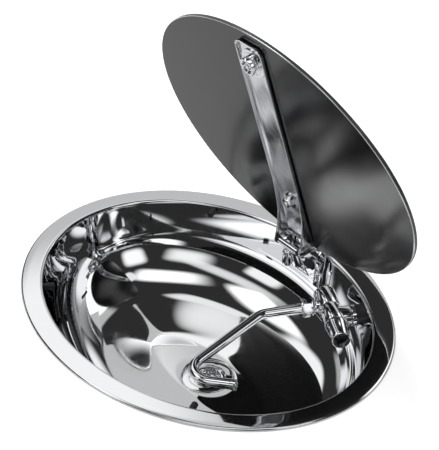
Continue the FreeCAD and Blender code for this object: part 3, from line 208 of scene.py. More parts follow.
def addRange(tree, value, low, high):
    spread = tree.nodes.new("ShaderNodeMapRange")
    spread.inputs["From Min"].default_value = 0.3
    spread.inputs["From Max"].default_value = 0.7
    spread.inputs["To Min"].default_value = low
    spread.inputs["To Max"].default_value = high
    tree.links.new(value, spread.inputs["Value"])
    return spread.outputs["Result"]


def addBump(tree, shader, height, strength, distance):
    bump = tree.nodes.new("ShaderNodeBump")
    bump.inputs["Strength"].default_value = strength
    bump.inputs["Distance"].default_value = distance
    tree.links.new(height, bump.inputs["Height"])
    tree.links.new(bump.outputs["Normal"], shader.inputs["Normal"])


def polishedMetal(name, colour, smoothest, roughest, waviness=0.0, waveScale=12.0):
    material, tree, shader, place = startMaterial(name)
    shader.inputs["Base Color"].default_value = (*colour, 1)
    shader.inputs["Metallic"].default_value = 1
    wear = addNoise(tree, place, 90, 4)
    tree.links.new(addRange(tree, wear, smoothest, roughest), shader.inputs["Roughness"])
    if waviness:
        addBump(tree, shader, addNoise(tree, place, waveScale, 1), waviness, 0.001)
    return material


def mouldedPlastic(name, colour, roughness, grain):
    material, tree, shader, place = startMaterial(name)
    shader.inputs["Base Color"].default_value = (*colour, 1)
    fine = addNoise(tree, place, 900, 3)
    tree.links.new(addRange(tree, fine, roughness * 0.8, roughness * 1.25), shader.inputs["Roughness"])
    addBump(tree, shader, fine, grain, 0.0002)
    return material


def smokedGlass():
    material, tree, shader, place = startMaterial("smokedGlass")
    shader.inputs["Base Color"].default_value = (0.006, 0.006, 0.007, 1)
    shader.inputs["IOR"].default_value = 1.52
    haze = addNoise(tree, place, 25, 3)
    tree.links.new(addRange(tree, haze, 0.15, 0.19), shader.inputs["Roughness"])
    return material


bowlSteel = polishedMetal("bowlSteel", (0.88, 0.89, 0.9), 0.02, 0.05, 0.04, 9)
chrome = polishedMetal("chrome", (0.86, 0.87, 0.89), 0.015, 0.045)
plainSteel = polishedMetal("plainSteel", (0.62, 0.63, 0.64), 0.22, 0.38, 0.2, 400)
turnedBrass = polishedMetal("turnedBrass", (0.72, 0.56, 0.28), 0.2, 0.35)
blackRubber = mouldedPlastic("blackRubber", (0.018, 0.018, 0.019), 0.55, 0.3)
blackPlastic = mouldedPlastic("blackPlastic", (0.008, 0.008, 0.009), 0.06, 0.02)
bluePlastic = mouldedPlastic("bluePlastic", (0.02, 0.08, 0.5), 0.2, 0.02)
greyPlastic = mouldedPlastic("greyPlastic", (0.3, 0.31, 0.32), 0.4, 0.2)
paleFoam = mouldedPlastic("paleFoam", (0.62, 0.62, 0.6), 0.8, 0.6)
glass = smokedGlass()
groundEdge = mouldedPlastic("groundEdge", (0.05, 0.055, 0.058), 0.22, 0.05)
# Bright metal finish for the glass bevel: a painted highlight that stands in for the glint along the chamfer,
# not a real metal part.
paintedHighlightBevel = polishedMetal("paintedHighlightBevel", (0.78, 0.8, 0.81), 0.15, 0.25)
satinChrome = polishedMetal("satinChrome", (0.8, 0.81, 0.83), 0.12, 0.2)
print("finishes made")

# CAD nodes that keep their own mesh.
nodeFinish = {
    "flange_gasket": paleFoam, "waste_cross": chrome, "waste_seal": blackRubber,
    "waste_backnut": greyPlastic, "waste_tail": greyPlastic, "waste_washer": blackRubber,
    "hinge_pad": blackRubber, "hinge_backing": plainSteel, "hinge_nuts": plainSteel,
    "friction_washers": blackPlastic, "bar_stop": blackRubber, "collar_seals": blackRubber,
    "collar_screw": chrome, "valve_cartridge": turnedBrass, "tap_inner_seal": blackRubber,
    "tap_outer_seal": blackRubber, "tap_washer": plainSteel, "tap_backnut": turnedBrass,
    "clamp_tabs": bowlSteel, "clamp_claws": plainSteel, "clamp_screws": plainSteel,
    "arm_pads": paleFoam, "glass_sleeves": greyPlastic, "spout_seal": blackRubber,
    "knob_screw": plainSteel, "valve_spindle": turnedBrass, "cold_index": bluePlastic,
    "cross_rivet": chrome, "bar_bushes": blackRubber,
}
for nodeName, finish in nodeFinish.items():
    nodes[nodeName].data.materials.clear()
    nodes[nodeName].data.materials.append(finish)


# Bowl: one pressing, from its turned-down lip over the flange and down to the waste.

bowl = {
    "mouth": (270, 192.5), "flange": 30, "lip": 3, "mouthRound": 4, "draft": 10,
    "turn": 90, "fall": 12, "depth": 135, "flatHalfWidth": 52, "easeSlope": 42, "easeFlat": 12,
    "recess": 36.5, "recessDeep": 2, "drain": 26.5, "sheet": 1, "segments": 256,
}


def bowlRings():
    draft, fall = math.radians(bowl["draft"]), math.radians(bowl["fall"])
    top = rimTop / mm
    reachX, reachY = bowl["mouth"]
    steps = [(bowl["flange"], 0), (bowl["flange"], 0.5)]      # (outset from the mouth, z)
    lip = bowl["lip"]
    steps += arcSteps((bowl["flange"] - lip, top - lip), lip, 0, 90, 8)
    corner = bowl["mouthRound"] * (1 - math.sin(draft)) / math.cos(draft)
    steps += [(bowl["flange"] * 0.6, top), (corner + 2, top)]
    steps += arcSteps((corner, top - bowl["mouthRound"]), bowl["mouthRound"], 90, 180 - bowl["draft"], 8)
    # Wall line and floor line meet where the turn rounds them off.
    flatInset = reachY - bowl["flatHalfWidth"]
    cross = (bowl["depth"] - flatInset * math.tan(fall)) / (1 - math.tan(draft) * math.tan(fall))
    bend = math.pi / 2 - draft - fall
    tangent = bowl["turn"] * math.tan(bend / 2)
    wallEnd = (cross * math.tan(draft) - tangent * math.sin(draft), cross - tangent * math.cos(draft))
    start = steps[-1]
    for share in (0.03, 0.1, 0.3, 0.5, 0.7, 0.9):
        steps.append((start[0] + (-wallEnd[0] - start[0]) * share,
                      start[1] + (top - wallEnd[1] - start[1]) * share))
    centre = (wallEnd[0] + bowl["turn"] * math.cos(draft), wallEnd[1] - bowl["turn"] * math.sin(draft))
    for step in range(21):
        angle = draft + bend * step / 20
        steps.append((-(centre[0] - bowl["turn"] * math.cos(angle)),
                      top - (centre[1] + bowl["turn"] * math.sin(angle))))
    floorStart = steps[-1]
    low = top - bowl["depth"]
    floorEnd = (-flatInset + bowl["easeSlope"] * math.cos(fall), low + bowl["easeSlope"] * math.sin(fall))
    for share in (0.1, 0.5, 1):
        steps.append((floorStart[0] + (floorEnd[0] - floorStart[0]) * share,
                      floorStart[1] + (floorEnd[1] - floorStart[1]) * share))
    # The slope eases into the flat middle along a parabola.
    for step in range(1, 11):
        share = step / 10
        back = (1 - share) ** 2
        steps.append((-flatInset + back * bowl["easeSlope"] * math.cos(fall) - share ** 2 * bowl["easeFlat"],
                      low + back * bowl["easeSlope"] * math.sin(fall)))
    rings = [(reachX + out, reachY + out, z) for out, z in steps]
    # The flat middle runs from an oval to the round recess of the waste.
    lastX, lastY, _ = rings[-1]
    edge = bowl["recess"] + 1.5
    for share in (0.25, 0.5, 0.75, 1):
        rings.append((lastX + (edge - lastX) * share, lastY + (edge - lastY) * share, low))
    for radius, z in arcSteps((edge, low - 1), 1, 90, 170, 4)[1:]:
        rings.append((radius, radius, z))
    rings.append((bowl["recess"], bowl["recess"], low - bowl["recessDeep"] + 0.2))
    rings.append((bowl["recess"] - 0.3, bowl["recess"] - 0.3, low - bowl["recessDeep"]))
    rings.append((bowl["drain"], bowl["drain"], low - bowl["recessDeep"]))
    return [(x * mm, y * mm, z * mm) for x, y, z in rings]


bowlPiece = growRings("bowlPressing", bowlRings(), bowl["segments"], (False, False))
faceUp(bowlPiece, lambda spot: spot.z > rimTop - 0.0005)
addModifier(bowlPiece, "SOLIDIFY", thickness=bowl["sheet"] * mm, offset=-1, use_even_offset=True)
smooth(bowlPiece, 40)
finishPiece(bowlPiece, "sink", bowlSteel, "polished_steel", "bowl")
print("bowl pressed")


# Waste: polished ring in the floor and the strainer cup in its throat.

ringPlace = Matrix.Translation((0, 0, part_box("waste_flange")[1].z))
waste = turned("wasteRing", [
    (23, -2), (23, -1.2), (25.5, -1.2), (25.5, -0.3), (25.8, 0), (34, 0), (35.3, -0.3), (35.9, -1),
    (36, -2), (26, -2), (26, -36), (23, -36), (23, -2)], ringPlace, 96, (False, False))
finishPiece(waste, "sink", chrome, "chrome", "waste_flange")
strainer = fineCopy("strainer", "strainerCup", 0.0002)
finishPiece(strainer, "strainer", chrome, "polished_steel", "strainer")


# Lid: smoked glass with a ground edge; its bevel gets a bright metal finish, a painted highlight.

lidGlass = {
    "half": (262, 182), "low": 1, "thick": 6, "chamfer": 1.1, "segments": 288,
    "holesAt": (-136, 104), "holeRadius": 5.05, "edgeFacing": 0.2, "bevelFacing": 0.97,
}


def makeGlass():
    halfX, halfY = lidGlass["half"]
    bottom, top, edge = lidGlass["low"], lidGlass["low"] + lidGlass["thick"], lidGlass["chamfer"]
    near, rise = edge * 0.3, edge * 0.4
    rings = [(halfX - edge, halfY - edge, bottom), (halfX - near, halfY - near, bottom + rise),
             (halfX, halfY, bottom + edge), (halfX, halfY, top - edge),
             (halfX - near, halfY - near, top - rise), (halfX - edge, halfY - edge, top)]
    piece = growRings("glassLid", [(x * mm, y * mm, z * mm) for x, y, z in rings], lidGlass["segments"])
    for y in lidGlass["holesAt"]:
        clearSelection()
        bpy.ops.mesh.primitive_cylinder_add(vertices=40, radius=lidGlass["holeRadius"] * mm, depth=0.03,
                                            location=(pin.x, y * mm, 4 * mm))
        drill = bpy.context.object
        addModifier(piece, "BOOLEAN", object=drill, operation="DIFFERENCE")
        bpy.data.objects.remove(drill)
    placePiece(piece, lidPlace)
    smooth(piece, 25)
    return piece


glassPiece = makeGlass()
finishPiece(glassPiece, "lid", glass, "smoked_glass", "lid_glass")
glassPiece.data.materials.append(groundEdge)
glassPiece.data.materials.append(paintedHighlightBevel)
# Edge faces get the ground edge finish; bevel faces get the bright metal finish, a painted highlight.
glassUp = lidPlace.to_3x3() @ Vector((0, 0, 1))
for face in glassPiece.data.polygons:
    facing = face.normal.dot(glassUp)
    if abs(facing) < lidGlass["edgeFacing"]:
        face.material_index = 1
    elif abs(facing) < lidGlass["bevelFacing"]:
        face.material_index = 2
print("glass cut")


# Arm: polished channel whose sides deepen to the hinge.

arm = {
    "left": -35, "right": 19, "front": -168, "corner": 12, "sheet": 1.5, "bend": 2.4,
    "webDepth": 3.5, "sideDepth": 9,
    "sideCurve": [(78, 9), (92, 9.6), (102.6, 10.8), (118, 12.3), (131, 14), (145, 18.6), (158, 24),
                  (172, 31.3)],
}


def sideDepthAt(y):
    curve = arm["sideCurve"]
    if y <= curve[0][0]:
        return arm["sideDepth"]
    for (y0, d0), (y1, d1) in zip(curve, curve[1:]):
        if y <= y1:
            return d0 + (d1 - d0) * (y - y0) / (y1 - y0)
    return curve[-1][1]


def armOutline():
    # Half-way round the tray in plan: right rear, round both front corners, left rear.
    stations = [172, 165, 158, 151, 145, 138, 131, 118, 102.6, 92, 78, 40, 0, -50, -100, -141]
    corner = arm["corner"]
    right = [(arm["right"], y, (-1, 0)) for y in stations]
    left = [(arm["left"], y, (1, 0)) for y in reversed(stations)]
    points = right
    for middle, start in (((arm["right"] - corner, arm["front"] + corner), 0),
                          ((arm["left"] + corner, arm["front"] + corner), -90)):
        for step in range(13):
            angle = math.radians(start - 90 * step / 12)
            outX, outY = math.cos(angle), math.sin(angle)
            points.append((middle[0] + corner * outX, middle[1] + corner * outY, (-outX, -outY)))
    return points + left


def makeArm():
    outline = armOutline()
    top = rimTop / mm - arm["webDepth"]
    bend = arm["bend"]
    middle = (arm["left"] + arm["right"]) / 2
    halfWidth = (arm["right"] - arm["left"]) / 2
    clearSelection()
    rows = 9
    bpy.ops.mesh.primitive_grid_add(x_subdivisions=len(outline) - 1, y_subdivisions=rows - 1, size=1)
    piece = bpy.context.object
    piece.name = "armChannel"
    points = piece.data.vertices
    for column, (x, y, (inX, inY)) in enumerate(outline):
        foot = rimTop / mm - sideDepthAt(y)
        spots = [(x, y, foot), (x, y, (foot + top - bend) / 2), (x, y, top - bend)]
        for step in (1, 2, 3, 4):
            angle = math.radians(90 * step / 4)
            inset = bend * (1 - math.cos(angle))
            spots.append((x + inX * inset, y + inY * inset, top - bend + bend * math.sin(angle)))
        spineY = max(y, arm["front"] + halfWidth)
        edge = spots[-1]
        spots.append(((edge[0] + middle) / 2, (edge[1] + spineY) / 2, top))
        spots.append((middle, spineY, top))
        for row, spot in enumerate(spots):
            points[row * len(outline) + column].co = Vector(spot) * mm
    faceUp(piece, lambda spot: spot.z > (top - 0.2) * mm)
    addModifier(piece, "SOLIDIFY", thickness=arm["sheet"] * mm, offset=-1, use_even_offset=True)
    return piece


def makeArmEnd(x, name):
    # The side wall past the web: down to the bar's corner and up to the eye on the pin.
    columns = [  # (low y, low depth), (high y, high depth)
        ((171, 30.9), (171, 3.5)), ((175, 32.6), (173.5, 3.5)), ((178, 32.4), (176, 3.5)),
        ((180.3, 30.4), (178.5, 3.5)), ((181, 27.5), (180, 3.4)), ((182, 20), (181.5, 3.1)),
        ((183.2, 12), (183, 2)), ((186, 6), (184, 0.4)), ((190.4, 0.2), (185.1, -1.8)),
        ((193.4, -1.4), (185.4, -4.2)), ((194.6, -4.5), (186.2, -7.2)), ((193.6, -7.4), (188.2, -8.8)),
        ((191.6, -8.8), (190, -9.1)),
    ]
    clearSelection()
    bpy.ops.mesh.primitive_grid_add(x_subdivisions=len(columns) - 1, y_subdivisions=3, size=1)
    piece = bpy.context.object
    piece.name = name
    for column, (lower, upper) in enumerate(columns):
        for row in range(4):
            y = lower[0] + (upper[0] - lower[0]) * row / 3
            depth = lower[1] + (upper[1] - lower[1]) * row / 3
            piece.data.vertices[row * len(columns) + column].co = (
                x * mm, y * mm, rimTop - depth * mm)
    faceOut(piece)
    addModifier(piece, "SOLIDIFY", thickness=arm["sheet"] * mm, offset=0, use_even_offset=True)
    return piece


armPiece = makeArm()
half = arm["sheet"] / 2
ends = [makeArmEnd(arm["right"] - half, "armEndRight"), makeArmEnd(arm["left"] + half, "armEndLeft")]
clearSelection()
for end in ends:
    end.select_set(True)
armPiece.select_set(True)
bpy.context.view_layer.objects.active = armPiece
bpy.ops.object.join()
faceOut(armPiece)
softenEdges(armPiece, 0.0003, 2, 50)
placePiece(armPiece, lidPlace)
smooth(armPiece, 40)
finishPiece(armPiece, "lid", satinChrome, "chrome", "lid_arm")
print("arm folded")


# Fixings on the lid: one pair near the front, one near the hinge.

fixing = {"front": -136, "rear": 104, "washerDepth": 5, "nutDepth": 6.5}
crossBar = {"y": 175.5, "depth": 27.5}


def onLid(y, depth):
    return lidPlace @ Matrix.Translation((pin.x, y * mm, rimTop - depth * mm))


def downOnLid(y, depth):
    return onLid(y, depth) @ Matrix.Rotation(math.pi, 4, "X")


frontDisc = turned("frontWasher", [
    (3.3, 0), (21.6, 0), (22, 0.3), (22, 1.1), (21.6, 1.5), (17.6, 1.5), (17.2, 1.15), (16.6, 1.15),
    (16.2, 1.5), (3.3, 1.5), (3.3, 0)], downOnLid(fixing["front"], fixing["washerDepth"]), 72, (False, False))
finishPiece(frontDisc, "lid", chrome, "chrome", "front_washer")
rearDisc = turned("rearWasher", [
    (3.3, 0), (12.7, 0), (13, 0.3), (13, 1.2), (12.7, 1.5), (3.3, 1.5), (3.3, 0)],
    downOnLid(fixing["rear"], fixing["washerDepth"]), 64, (False, False))
finishPiece(rearDisc, "lid", chrome, "chrome", "rear_washer")
frontNut = turned("frontNut", [
    (3.05, 0), (12.4, 0), (13, 0.5), (13, 8.8), (12.2, 10), (10, 10), (9.2, 9.2), (9, 5), (3.05, 5),
    (3.05, 0)], downOnLid(fixing["front"], fixing["nutDepth"]), 64, (False, False))
finishPiece(frontNut, "lid", chrome, "chrome", "front_nut")
rearNut = turned("rearNut", [
    (3.05, 0), (7, 0), (7.5, 0.5), (7.5, 7), (6.9, 8), (4.4, 8), (3.6, 7.4), (3.4, 4), (3.05, 4),
    (3.05, 0)], downOnLid(fixing["rear"], fixing["nutDepth"]), 48, (False, False))
finishPiece(rearNut, "lid", chrome, "chrome", "rear_nut")
caps = fineCopy("lid_caps", "lidCaps", 0.0003)
finishPiece(caps, "lid", chrome, "chrome", "lid_caps")

# Cross bar with a rolled rim at each end.
barPlace = onLid(crossBar["y"], crossBar["depth"]) @ zToX
bar = turned("crossBar", [
    (2.51, -20.5), (4, -20.5), (4.5, -20), (4.5, 20), (4, 20.5), (2.51, 20.5), (2.51, -20.5)],
    barPlace, 40, (False, False))
finishPiece(bar, "lid", chrome, "chrome", "cross_bar")
print("lid fixings made")


# Hinge on the wall.

hingeSteel = (("hinge_bracket", "hingeBracket", 0.0004), ("hinge_screws", "hingeScrews", 0.0003),
              ("hinge_pin", "hingePin", 0.0002), ("pin_caps", "pinCaps", 0.0002))
for node, name, edge in hingeSteel:
    finishPiece(fineCopy(node, name, edge), "sink", chrome, "chrome", node)
buffers = fineCopy("lid_buffers", "lidBuffers", 0)
finishPiece(buffers, "sink", blackRubber, "black_rubber", "lid_buffers")
print("hinge made")


# Tap, shaped in its own place.

tap = {"body": 15.5, "collarEnd": 13, "bodyEnd": 48, "seam": 0.4}
alongTap = tapPlace @ zToX
edgeRound = 0.7


def barrel(radius, start, end, bore):
    # Ring of a turned barrel with rounded rims, as (radius, height).
    return [(bore, start), (radius - edgeRound, start), (radius - 0.2, start + 0.2),
            (radius, start + edgeRound), (radius, end - edgeRound), (radius - 0.2, end - 0.2),
            (radius - edgeRound, end), (bore, end), (bore, start)]


bodyPiece = turned("tapBody", barrel(tap["body"], tap["collarEnd"] + tap["seam"], tap["bodyEnd"], 9),
                   alongTap, 72, (False, False))
collar = turned("tapCollar", [
    (9.05, -21.8), (9.05, 13), (14.8, 13), (15.3, 12.8), (15.5, 12.3), (15.5, -23), (15.2, -24.6),
    (14.4, -25.6), (13.4, -26), (12.5, -25.6), (12.5, -23), (2.2, -23), (2.2, -21.8), (9.05, -21.8)],
    alongTap, 72, (False, False))
neck = turned("tapNeck", [
    (5, 12), (8.5, 12), (8.5, 17), (8.2, 17.6), (7.6, 17.9), (7.6, 19), (8.2, 19.3), (9.6, 19.6), (10, 20.2),
    (10, 27.6), (9.6, 28), (5, 28), (5, 12)], tapPlace @ zToFront, 56, (False, False))
core = turned("tapCore", [
    (2, -21), (8.95, -21), (8.95, 14), (2, 14), (2, -21)], alongTap, 48, (False, False))
shankPlace = tapPlace @ Matrix.Translation((30 * mm, 0, 0)) @ Matrix.Rotation(math.radians(-90), 4, "X")
shankProfile = [(5, 8), (14, 8), (14, 22.9), (13.8, 23.5), (13.2, 23.7), (9, 23.7)]
for turn in range(20):
    height = 40 + turn * 1.9
    shankProfile += [(9, height), (8.4, height + 0.5), (9, height + 1.0)]
shankProfile += [(9, 78), (6, 78.2), (6, 103.5), (5.6, 104), (3.5, 104), (3.5, 78), (5, 76), (5, 8)]
shank = turned("tapShank", shankProfile, shankPlace, 48, (False, False), 30)


def joinPieces(main, *others):
    clearSelection()
    for other in others:
        other.select_set(True)
    main.select_set(True)
    bpy.context.view_layer.objects.active = main
    bpy.ops.object.join()
    return main


joinPieces(bodyPiece, core, shank)
finishPiece(bodyPiece, "sink", chrome, "chrome", "tap_body")
joinPieces(collar, neck)
finishPiece(collar, "tap_head", chrome, "chrome", "tap_collar")
cap = fineCopy("collar_cap", "collarCap", 0.0002)
finishPiece(cap, "tap_head", blackPlastic, "black_plastic", "collar_cap")
nut = fineCopy("spout_nut", "spoutNut", 0.0004, 25)
finishPiece(nut, "tap_head", chrome, "chrome", "spout_nut")
rose = turned("tapRose", [
    (9.05, 24), (12.5, 24), (14.2, 24.5), (15, 25.6), (15, 30), (9.05, 30), (9.05, 24)],
    shankPlace, 64, (False, False))
finishPiece(rose, "sink", chrome, "chrome", "tap_rose")
print("tap turned")


# Knob: a cone with soft flutes between its lobes.

knob = {
    "base": 17, "tip": 13.2, "flutes": 6, "fluteDepth": 1.3, "fluteStart": 4.6, "start": 48.4, "end": 82,
    "capSunk": 3,
}


def makeKnob():
    start, end, base = knob["start"], knob["end"], knob["base"]
    coneStart = start + knob["fluteStart"]
    profile = [(4, start), (base - 1.4, start), (base - 0.6, start + 0.4), (base, start + 1.4),
               (base, coneStart)]
    for step in range(1, 13):
        share = step / 12
        profile.append((base - (base - knob["tip"]) * share, coneStart + (end - start - 7) * share))
    profile += [(12.9, end - 1), (12.3, end - 0.2), (11.6, end), (9.8, end), (9.7, end - 3),
                (2.1, end - 3), (2.1, start + 14), (4, start + 14), (4, start)]
    piece = turned("tapKnob", profile, Matrix.Identity(4), 144, (False, False))
    for vertex in piece.data.vertices:
        across = Vector((vertex.co.x, vertex.co.y))
        height = vertex.co.z / mm
        if across.length > 11.4 * mm and height > coneStart:
            angle = math.atan2(across.y, across.x)
            share = (height - coneStart) / (end - coneStart)
            reach = math.sin(math.pi * min(1, share * 1.15) ** 0.8) if share < 0.87 else 0
            groove = max(0.0, math.cos(knob["flutes"] * angle)) ** 1.5
            depth = knob["fluteDepth"] * mm * groove * max(0.0, reach)
            vertex.co.x -= across.x / across.length * depth
            vertex.co.y -= across.y / across.length * depth
    placePiece(piece, alongTap)
    smooth(piece, 35)
    return piece


knobPiece = makeKnob()
finishPiece(knobPiece, "knob", chrome, "chrome", "tap_knob")
capFoot = knob["end"] - knob["capSunk"]
capProfile = [(7.7, capFoot), (9.6, capFoot), (9.6, capFoot + 3), (11, capFoot + 3), (11.2, capFoot + 3.3),
              (11.2, capFoot + 3.9), (10.9, capFoot + 4.5)]
for step in (20, 35, 50, 62, 74, 84):
    lean = math.radians(step)
    capProfile.append((10.4 * math.cos(lean) + 0.2, capFoot + 4.4 + 2.4 * math.sin(lean)))
capProfile.append((0.3, capFoot + 6.8))
capDome = turned("knobCap", capProfile, alongTap, 64, (True, True))
finishPiece(capDome, "knob", blackPlastic, "black_plastic", "knob_cap")


# Spout: a bent tube with a sleeve at its mouth.

spout = {
    "radius": 7.1, "wall": 1, "start": 30.5, "firstCorner": 93, "bendTurn": 39, "bendRadius": 22,
    "secondRun": 173, "hookTurn": 117, "hookRadius": 28, "lastRun": 74, "sides": 40,
}


def makeSpout():
    clearSelection()
    bpy.ops.mesh.primitive_circle_add(vertices=spout["sides"], radius=spout["radius"] * mm,
                                      location=(0, -spout["start"] * mm, 0), rotation=(math.pi / 2, 0, 0))
    piece = bpy.context.object
    piece.name = "spoutTube"
    bpy.ops.object.transform_apply(location=True, rotation=True, scale=True)
    bpy.ops.object.mode_set(mode="EDIT")
    bpy.ops.mesh.select_mode(type="EDGE")
    bpy.ops.mesh.select_all(action="SELECT")
    heading = -90
    point = Vector((0, -spout["start"], 0))
    corner = Vector((0, -spout["firstCorner"], 0))
    legs = ((spout["bendTurn"], spout["bendRadius"], spout["secondRun"]),
            (spout["hookTurn"], spout["hookRadius"], spout["lastRun"]))
    for turn, radius, run in legs:
        ahead = Vector((math.cos(math.radians(heading)), math.sin(math.radians(heading)), 0))
        side = Vector((-ahead.y, ahead.x, 0))
        before = corner - ahead * radius * math.tan(math.radians(turn / 2))
        bpy.ops.mesh.extrude_edges_move(TRANSFORM_OT_translate={"value": (before - point) * mm})
        centre = before + side * radius
        bpy.ops.mesh.spin(steps=max(8, int(turn / 4)), angle=-math.radians(turn), center=centre * mm,
                          axis=(0, 0, 1))
        heading += turn
        ahead = Vector((math.cos(math.radians(heading)), math.sin(math.radians(heading)), 0))
        side = Vector((-ahead.y, ahead.x, 0))
        point = centre - side * radius
        corner = corner + ahead * run
    bpy.ops.mesh.extrude_edges_move(TRANSFORM_OT_translate={"value": (corner - point) * mm})
    bpy.ops.object.mode_set(mode="OBJECT")
    faceOut(piece)
    addModifier(piece, "SOLIDIFY", thickness=spout["wall"] * mm, offset=-1, use_even_offset=True)
    placePiece(piece, tapPlace)
    smooth(piece, 40)
    tip = tapPlace @ Matrix.Translation(corner * mm) @ Matrix.Rotation(math.radians(heading), 4, "Z") @ zToX
    return piece, tip


spoutPiece, tipPlace = makeSpout()
shoulder = turned("spoutShoulder", [
    (6.1, 30.5), (9.4, 30.5), (9.4, 33.5), (7.1, 33.5), (6.1, 33.5), (6.1, 30.5)],
    tapPlace @ zToFront, 48, (False, False))
joinPieces(spoutPiece, shoulder)
finishPiece(spoutPiece, "spout", chrome, "chrome", "spout_tube")
outlet = turned("spoutOutlet", [
    (4.9, 0.2), (7.1, 0.2), (7.6, 0.6), (7.6, 2.2), (7.3, 2.5), (7.3, 3.1), (7.6, 3.4), (7.6, 7.2),
    (7.3, 7.8), (6.8, 8), (6.3, 7.7), (6.1, 7), (6, 3), (4.9, 2.8), (4.9, 0.2)],
    tipPlace, 48, (False, False))
finishPiece(outlet, "spout", chrome, "chrome", "spout_outlet")
print("spout bent")


# Stage: a pale worktop with the cut-out, and cards round it for the metal to mirror.

def glowMaterial(name, glow, soft):
    # Light seen only in mirrors; soft cards fade towards their edges.
    material = bpy.data.materials.new(name)
    material.use_nodes = True
    tree = material.node_tree
    shader = tree.nodes["Principled BSDF"]
    shader.inputs["Base Color"].default_value = (0, 0, 0, 1)
    shader.inputs["Specular IOR Level"].default_value = 0
    shader.inputs["Emission Color"].default_value = (1, 1, 1, 1)
    shader.inputs["Emission Strength"].default_value = glow
    if soft:
        place = tree.nodes.new("ShaderNodeTexCoord")
        centred = tree.nodes.new("ShaderNodeVectorMath")
        centred.operation = "MULTIPLY_ADD"
        centred.inputs[1].default_value = (2, 2, 0)
        centred.inputs[2].default_value = (-1, -1, 0)
        tree.links.new(place.outputs["UV"], centred.inputs[0])
        squared = tree.nodes.new("ShaderNodeVectorMath")
        squared.operation = "MULTIPLY"
        tree.links.new(centred.outputs["Vector"], squared.inputs[0])
        tree.links.new(centred.outputs["Vector"], squared.inputs[1])
        reach = tree.nodes.new("ShaderNodeVectorMath")
        reach.operation = "LENGTH"
        tree.links.new(squared.outputs["Vector"], reach.inputs[0])
        fade = tree.nodes.new("ShaderNodeMapRange")
        fade.interpolation_type = "SMOOTHSTEP"
        fade.inputs["From Min"].default_value = 1.0 - soft
        fade.inputs["From Max"].default_value = 1.0
        fade.inputs["To Min"].default_value = 1
        fade.inputs["To Max"].default_value = 0
        tree.links.new(reach.outputs["Value"], fade.inputs["Value"])
        tree.links.new(fade.outputs["Result"], shader.inputs["Alpha"])
    return material


studio = {"distance": 3.0, "boardBack": 1.5, "dark": 0.028, "daylight": 0.55, "worktopLift": 0.55}

# name: (azimuth from, to, elevation from, to, glow, softness), degrees round the sink
cards = {
    "leftPanel": (62, 116, 18, 53, 1.35, 0.55),
    "leftLow": (44, 72, 5, 34, 1.3, 0.6),
    "leftWing": (110, 128, 27, 53, 0.5, 0.8),
    "backSlope": (144, 192, 32, 50, 1.0, 0.6),
    "backTower": (156, 176, 42, 70, 0.9, 0.8),
    "highBand": (184, 244, 39, 60, 2.2, 1),
    "slopeBand": (214, 298, 33, 49, 0.8, 1),
    "sideLow": (178, 200, 6, 20, 0.42, 0.8),
    "rightUpright": (236, 257, 5, 29, 1.0, 0.7),
    "rightSoft": (270, 316, 14, 44, 1.0, 1),
    "overhead": (246, 366, 57, 86, 1.6, 1),
    "frontHigh": (-2, 34, 52, 72, 0.9, 0.7),
    "frontWide": (331, 366, 10, 48, 1.1, 0.8),
}


# Upright boards behind the sink: name: (x from, to, z from, to, glow)
boards = {
    "backBoard": (-4.2, -1.62, -0.2, 3.2, 0.56),
    "lowBoard": (-1.62, -0.45, -0.2, 1.3, 0.54),
}


def hangCard(name, place, wide, high, glow, soft):
    clearSelection()
    bpy.ops.mesh.primitive_plane_add(size=1)
    piece = bpy.context.object
    piece.name = name
    piece.matrix_world = place @ Matrix.Diagonal((wide, high, 1, 1))
    piece.data.materials.append(glowMaterial(name, glow, soft))
    piece.visible_camera = False
    piece.visible_diffuse = False
    piece.visible_shadow = False


def hangCards():
    reach = studio["distance"]
    for name, (azimuthFrom, azimuthTo, elevationFrom, elevationTo, glow, soft) in cards.items():
        azimuth = math.radians((azimuthFrom + azimuthTo) / 2)
        elevation = math.radians((elevationFrom + elevationTo) / 2)
        ahead = Vector((math.cos(azimuth) * math.cos(elevation), math.sin(azimuth) * math.cos(elevation),
                        math.sin(elevation)))
        wide = 2 * reach * math.cos(elevation) * math.tan(math.radians(azimuthTo - azimuthFrom) / 2)
        high = 2 * reach * math.tan(math.radians(elevationTo - elevationFrom) / 2)
        place = Matrix.Translation(ahead * reach) @ ahead.to_track_quat("Z", "Y").to_matrix().to_4x4()
        hangCard(name, place, wide, high, glow, soft)
    for name, (left, right, bottom, top, glow) in boards.items():
        place = (Matrix.Translation(((left + right) / 2, studio["boardBack"], (bottom + top) / 2))
                 @ Matrix.Rotation(math.radians(90), 4, "X"))
        hangCard(name, place, right - left, top - bottom, glow, 0)


hangCards()


def worktopMaterial():
    # White to the camera, grey in the metal and the glass.
    material = bpy.data.materials.new("worktopWhite")
    material.use_nodes = True
    tree = material.node_tree
    shader = tree.nodes["Principled BSDF"]
    shader.inputs["Base Color"].default_value = (0.82, 0.82, 0.82, 1)
    shader.inputs["Roughness"].default_value = 0.9
    shader.inputs["Specular IOR Level"].default_value = 0
    shader.inputs["Emission Color"].default_value = (1, 1, 1, 1)
    path = tree.nodes.new("ShaderNodeLightPath")
    strength = tree.nodes.new("ShaderNodeMath")
    strength.operation = "MULTIPLY"
    strength.inputs[1].default_value = studio["worktopLift"]
    tree.links.new(path.outputs["Is Camera Ray"], strength.inputs[0])
    tree.links.new(strength.outputs[0], shader.inputs["Emission Strength"])
    return material


worktopRings = [(0.2815, 0.204, 0), (0.34, 0.26, 0), (0.6, 0.55, 0), (4, 4, 0)]
worktop = growRings("worktop", worktopRings, 160, (False, False))
faceUp(worktop, lambda spot: True)
worktop.data.materials.append(worktopMaterial())

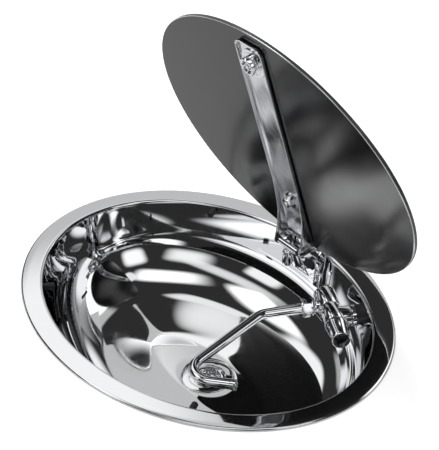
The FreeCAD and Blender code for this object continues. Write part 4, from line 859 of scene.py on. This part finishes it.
world = bpy.data.worlds.new("studio")
bpy.context.scene.world = world
world.use_nodes = True
worldTree = world.node_tree
background = worldTree.nodes["Background"]
background.inputs["Color"].default_value = (1, 1, 1, 1)
worldPath = worldTree.nodes.new("ShaderNodeLightPath")
direct = worldTree.nodes.new("ShaderNodeMix")
direct.inputs["A"].default_value = studio["daylight"]
direct.inputs["B"].default_value = studio["dark"]
worldTree.links.new(worldPath.outputs["Is Glossy Ray"], direct.inputs["Factor"])
seen = worldTree.nodes.new("ShaderNodeMix")
seen.inputs["B"].default_value = 1
worldTree.links.new(worldPath.outputs["Is Camera Ray"], seen.inputs["Factor"])
worldTree.links.new(direct.outputs["Result"], seen.inputs["A"])
worldTree.links.new(seen.outputs["Result"], background.inputs["Strength"])


def addLight(name, place, target, size, power):
    clearSelection()
    bpy.ops.object.light_add(type="AREA", location=place)
    lamp = bpy.context.object
    lamp.name = name
    lamp.data.shape = "DISK"
    lamp.data.size = size
    lamp.data.energy = power
    lamp.visible_glossy = False
    lamp.rotation_euler = (Vector(target) - Vector(place)).to_track_quat("-Z", "Y").to_euler()


addLight("keyLight", (-1.6, 0.8, 2.4), (0, 0, 0), 1.6, 40)


# Camera at the photograph's angle, 439 x 450 pixels.

camera = {
    "focal": 1784.5244, "azimuth": 54.8906, "elevation": 33.9702, "roll": -3.0022,
    "distance": 2.41104, "right": 0.0276, "up": 0.09756, "height": 450,
}


def placeCamera():
    azimuth, elevation = math.radians(camera["azimuth"]), math.radians(camera["elevation"])
    back = Vector((math.sin(azimuth) * math.cos(elevation), -math.cos(azimuth) * math.cos(elevation),
                   math.sin(elevation)))
    ahead = -back
    right = ahead.cross(Vector((0, 0, 1))).normalized()
    up = right.cross(ahead)
    spot = back * camera["distance"] + right * camera["right"] + up * camera["up"]
    spot.z += rimTop
    roll = math.radians(camera["roll"])
    rolledRight = right * math.cos(roll) + up * math.sin(roll)
    rolledUp = up * math.cos(roll) - right * math.sin(roll)
    turn = Matrix((rolledRight, rolledUp, back)).transposed().to_4x4()
    clearSelection()
    bpy.ops.object.camera_add()
    view = bpy.context.object
    view.matrix_world = Matrix.Translation(spot) @ turn
    view.data.sensor_fit = "VERTICAL"
    view.data.sensor_height = 24
    view.data.lens = camera["focal"] * 24 / camera["height"]
    view.data.clip_end = 20
    bpy.context.scene.camera = view


placeCamera()
bpy.context.scene.view_settings.view_transform = "Standard"
print("stage and camera set")
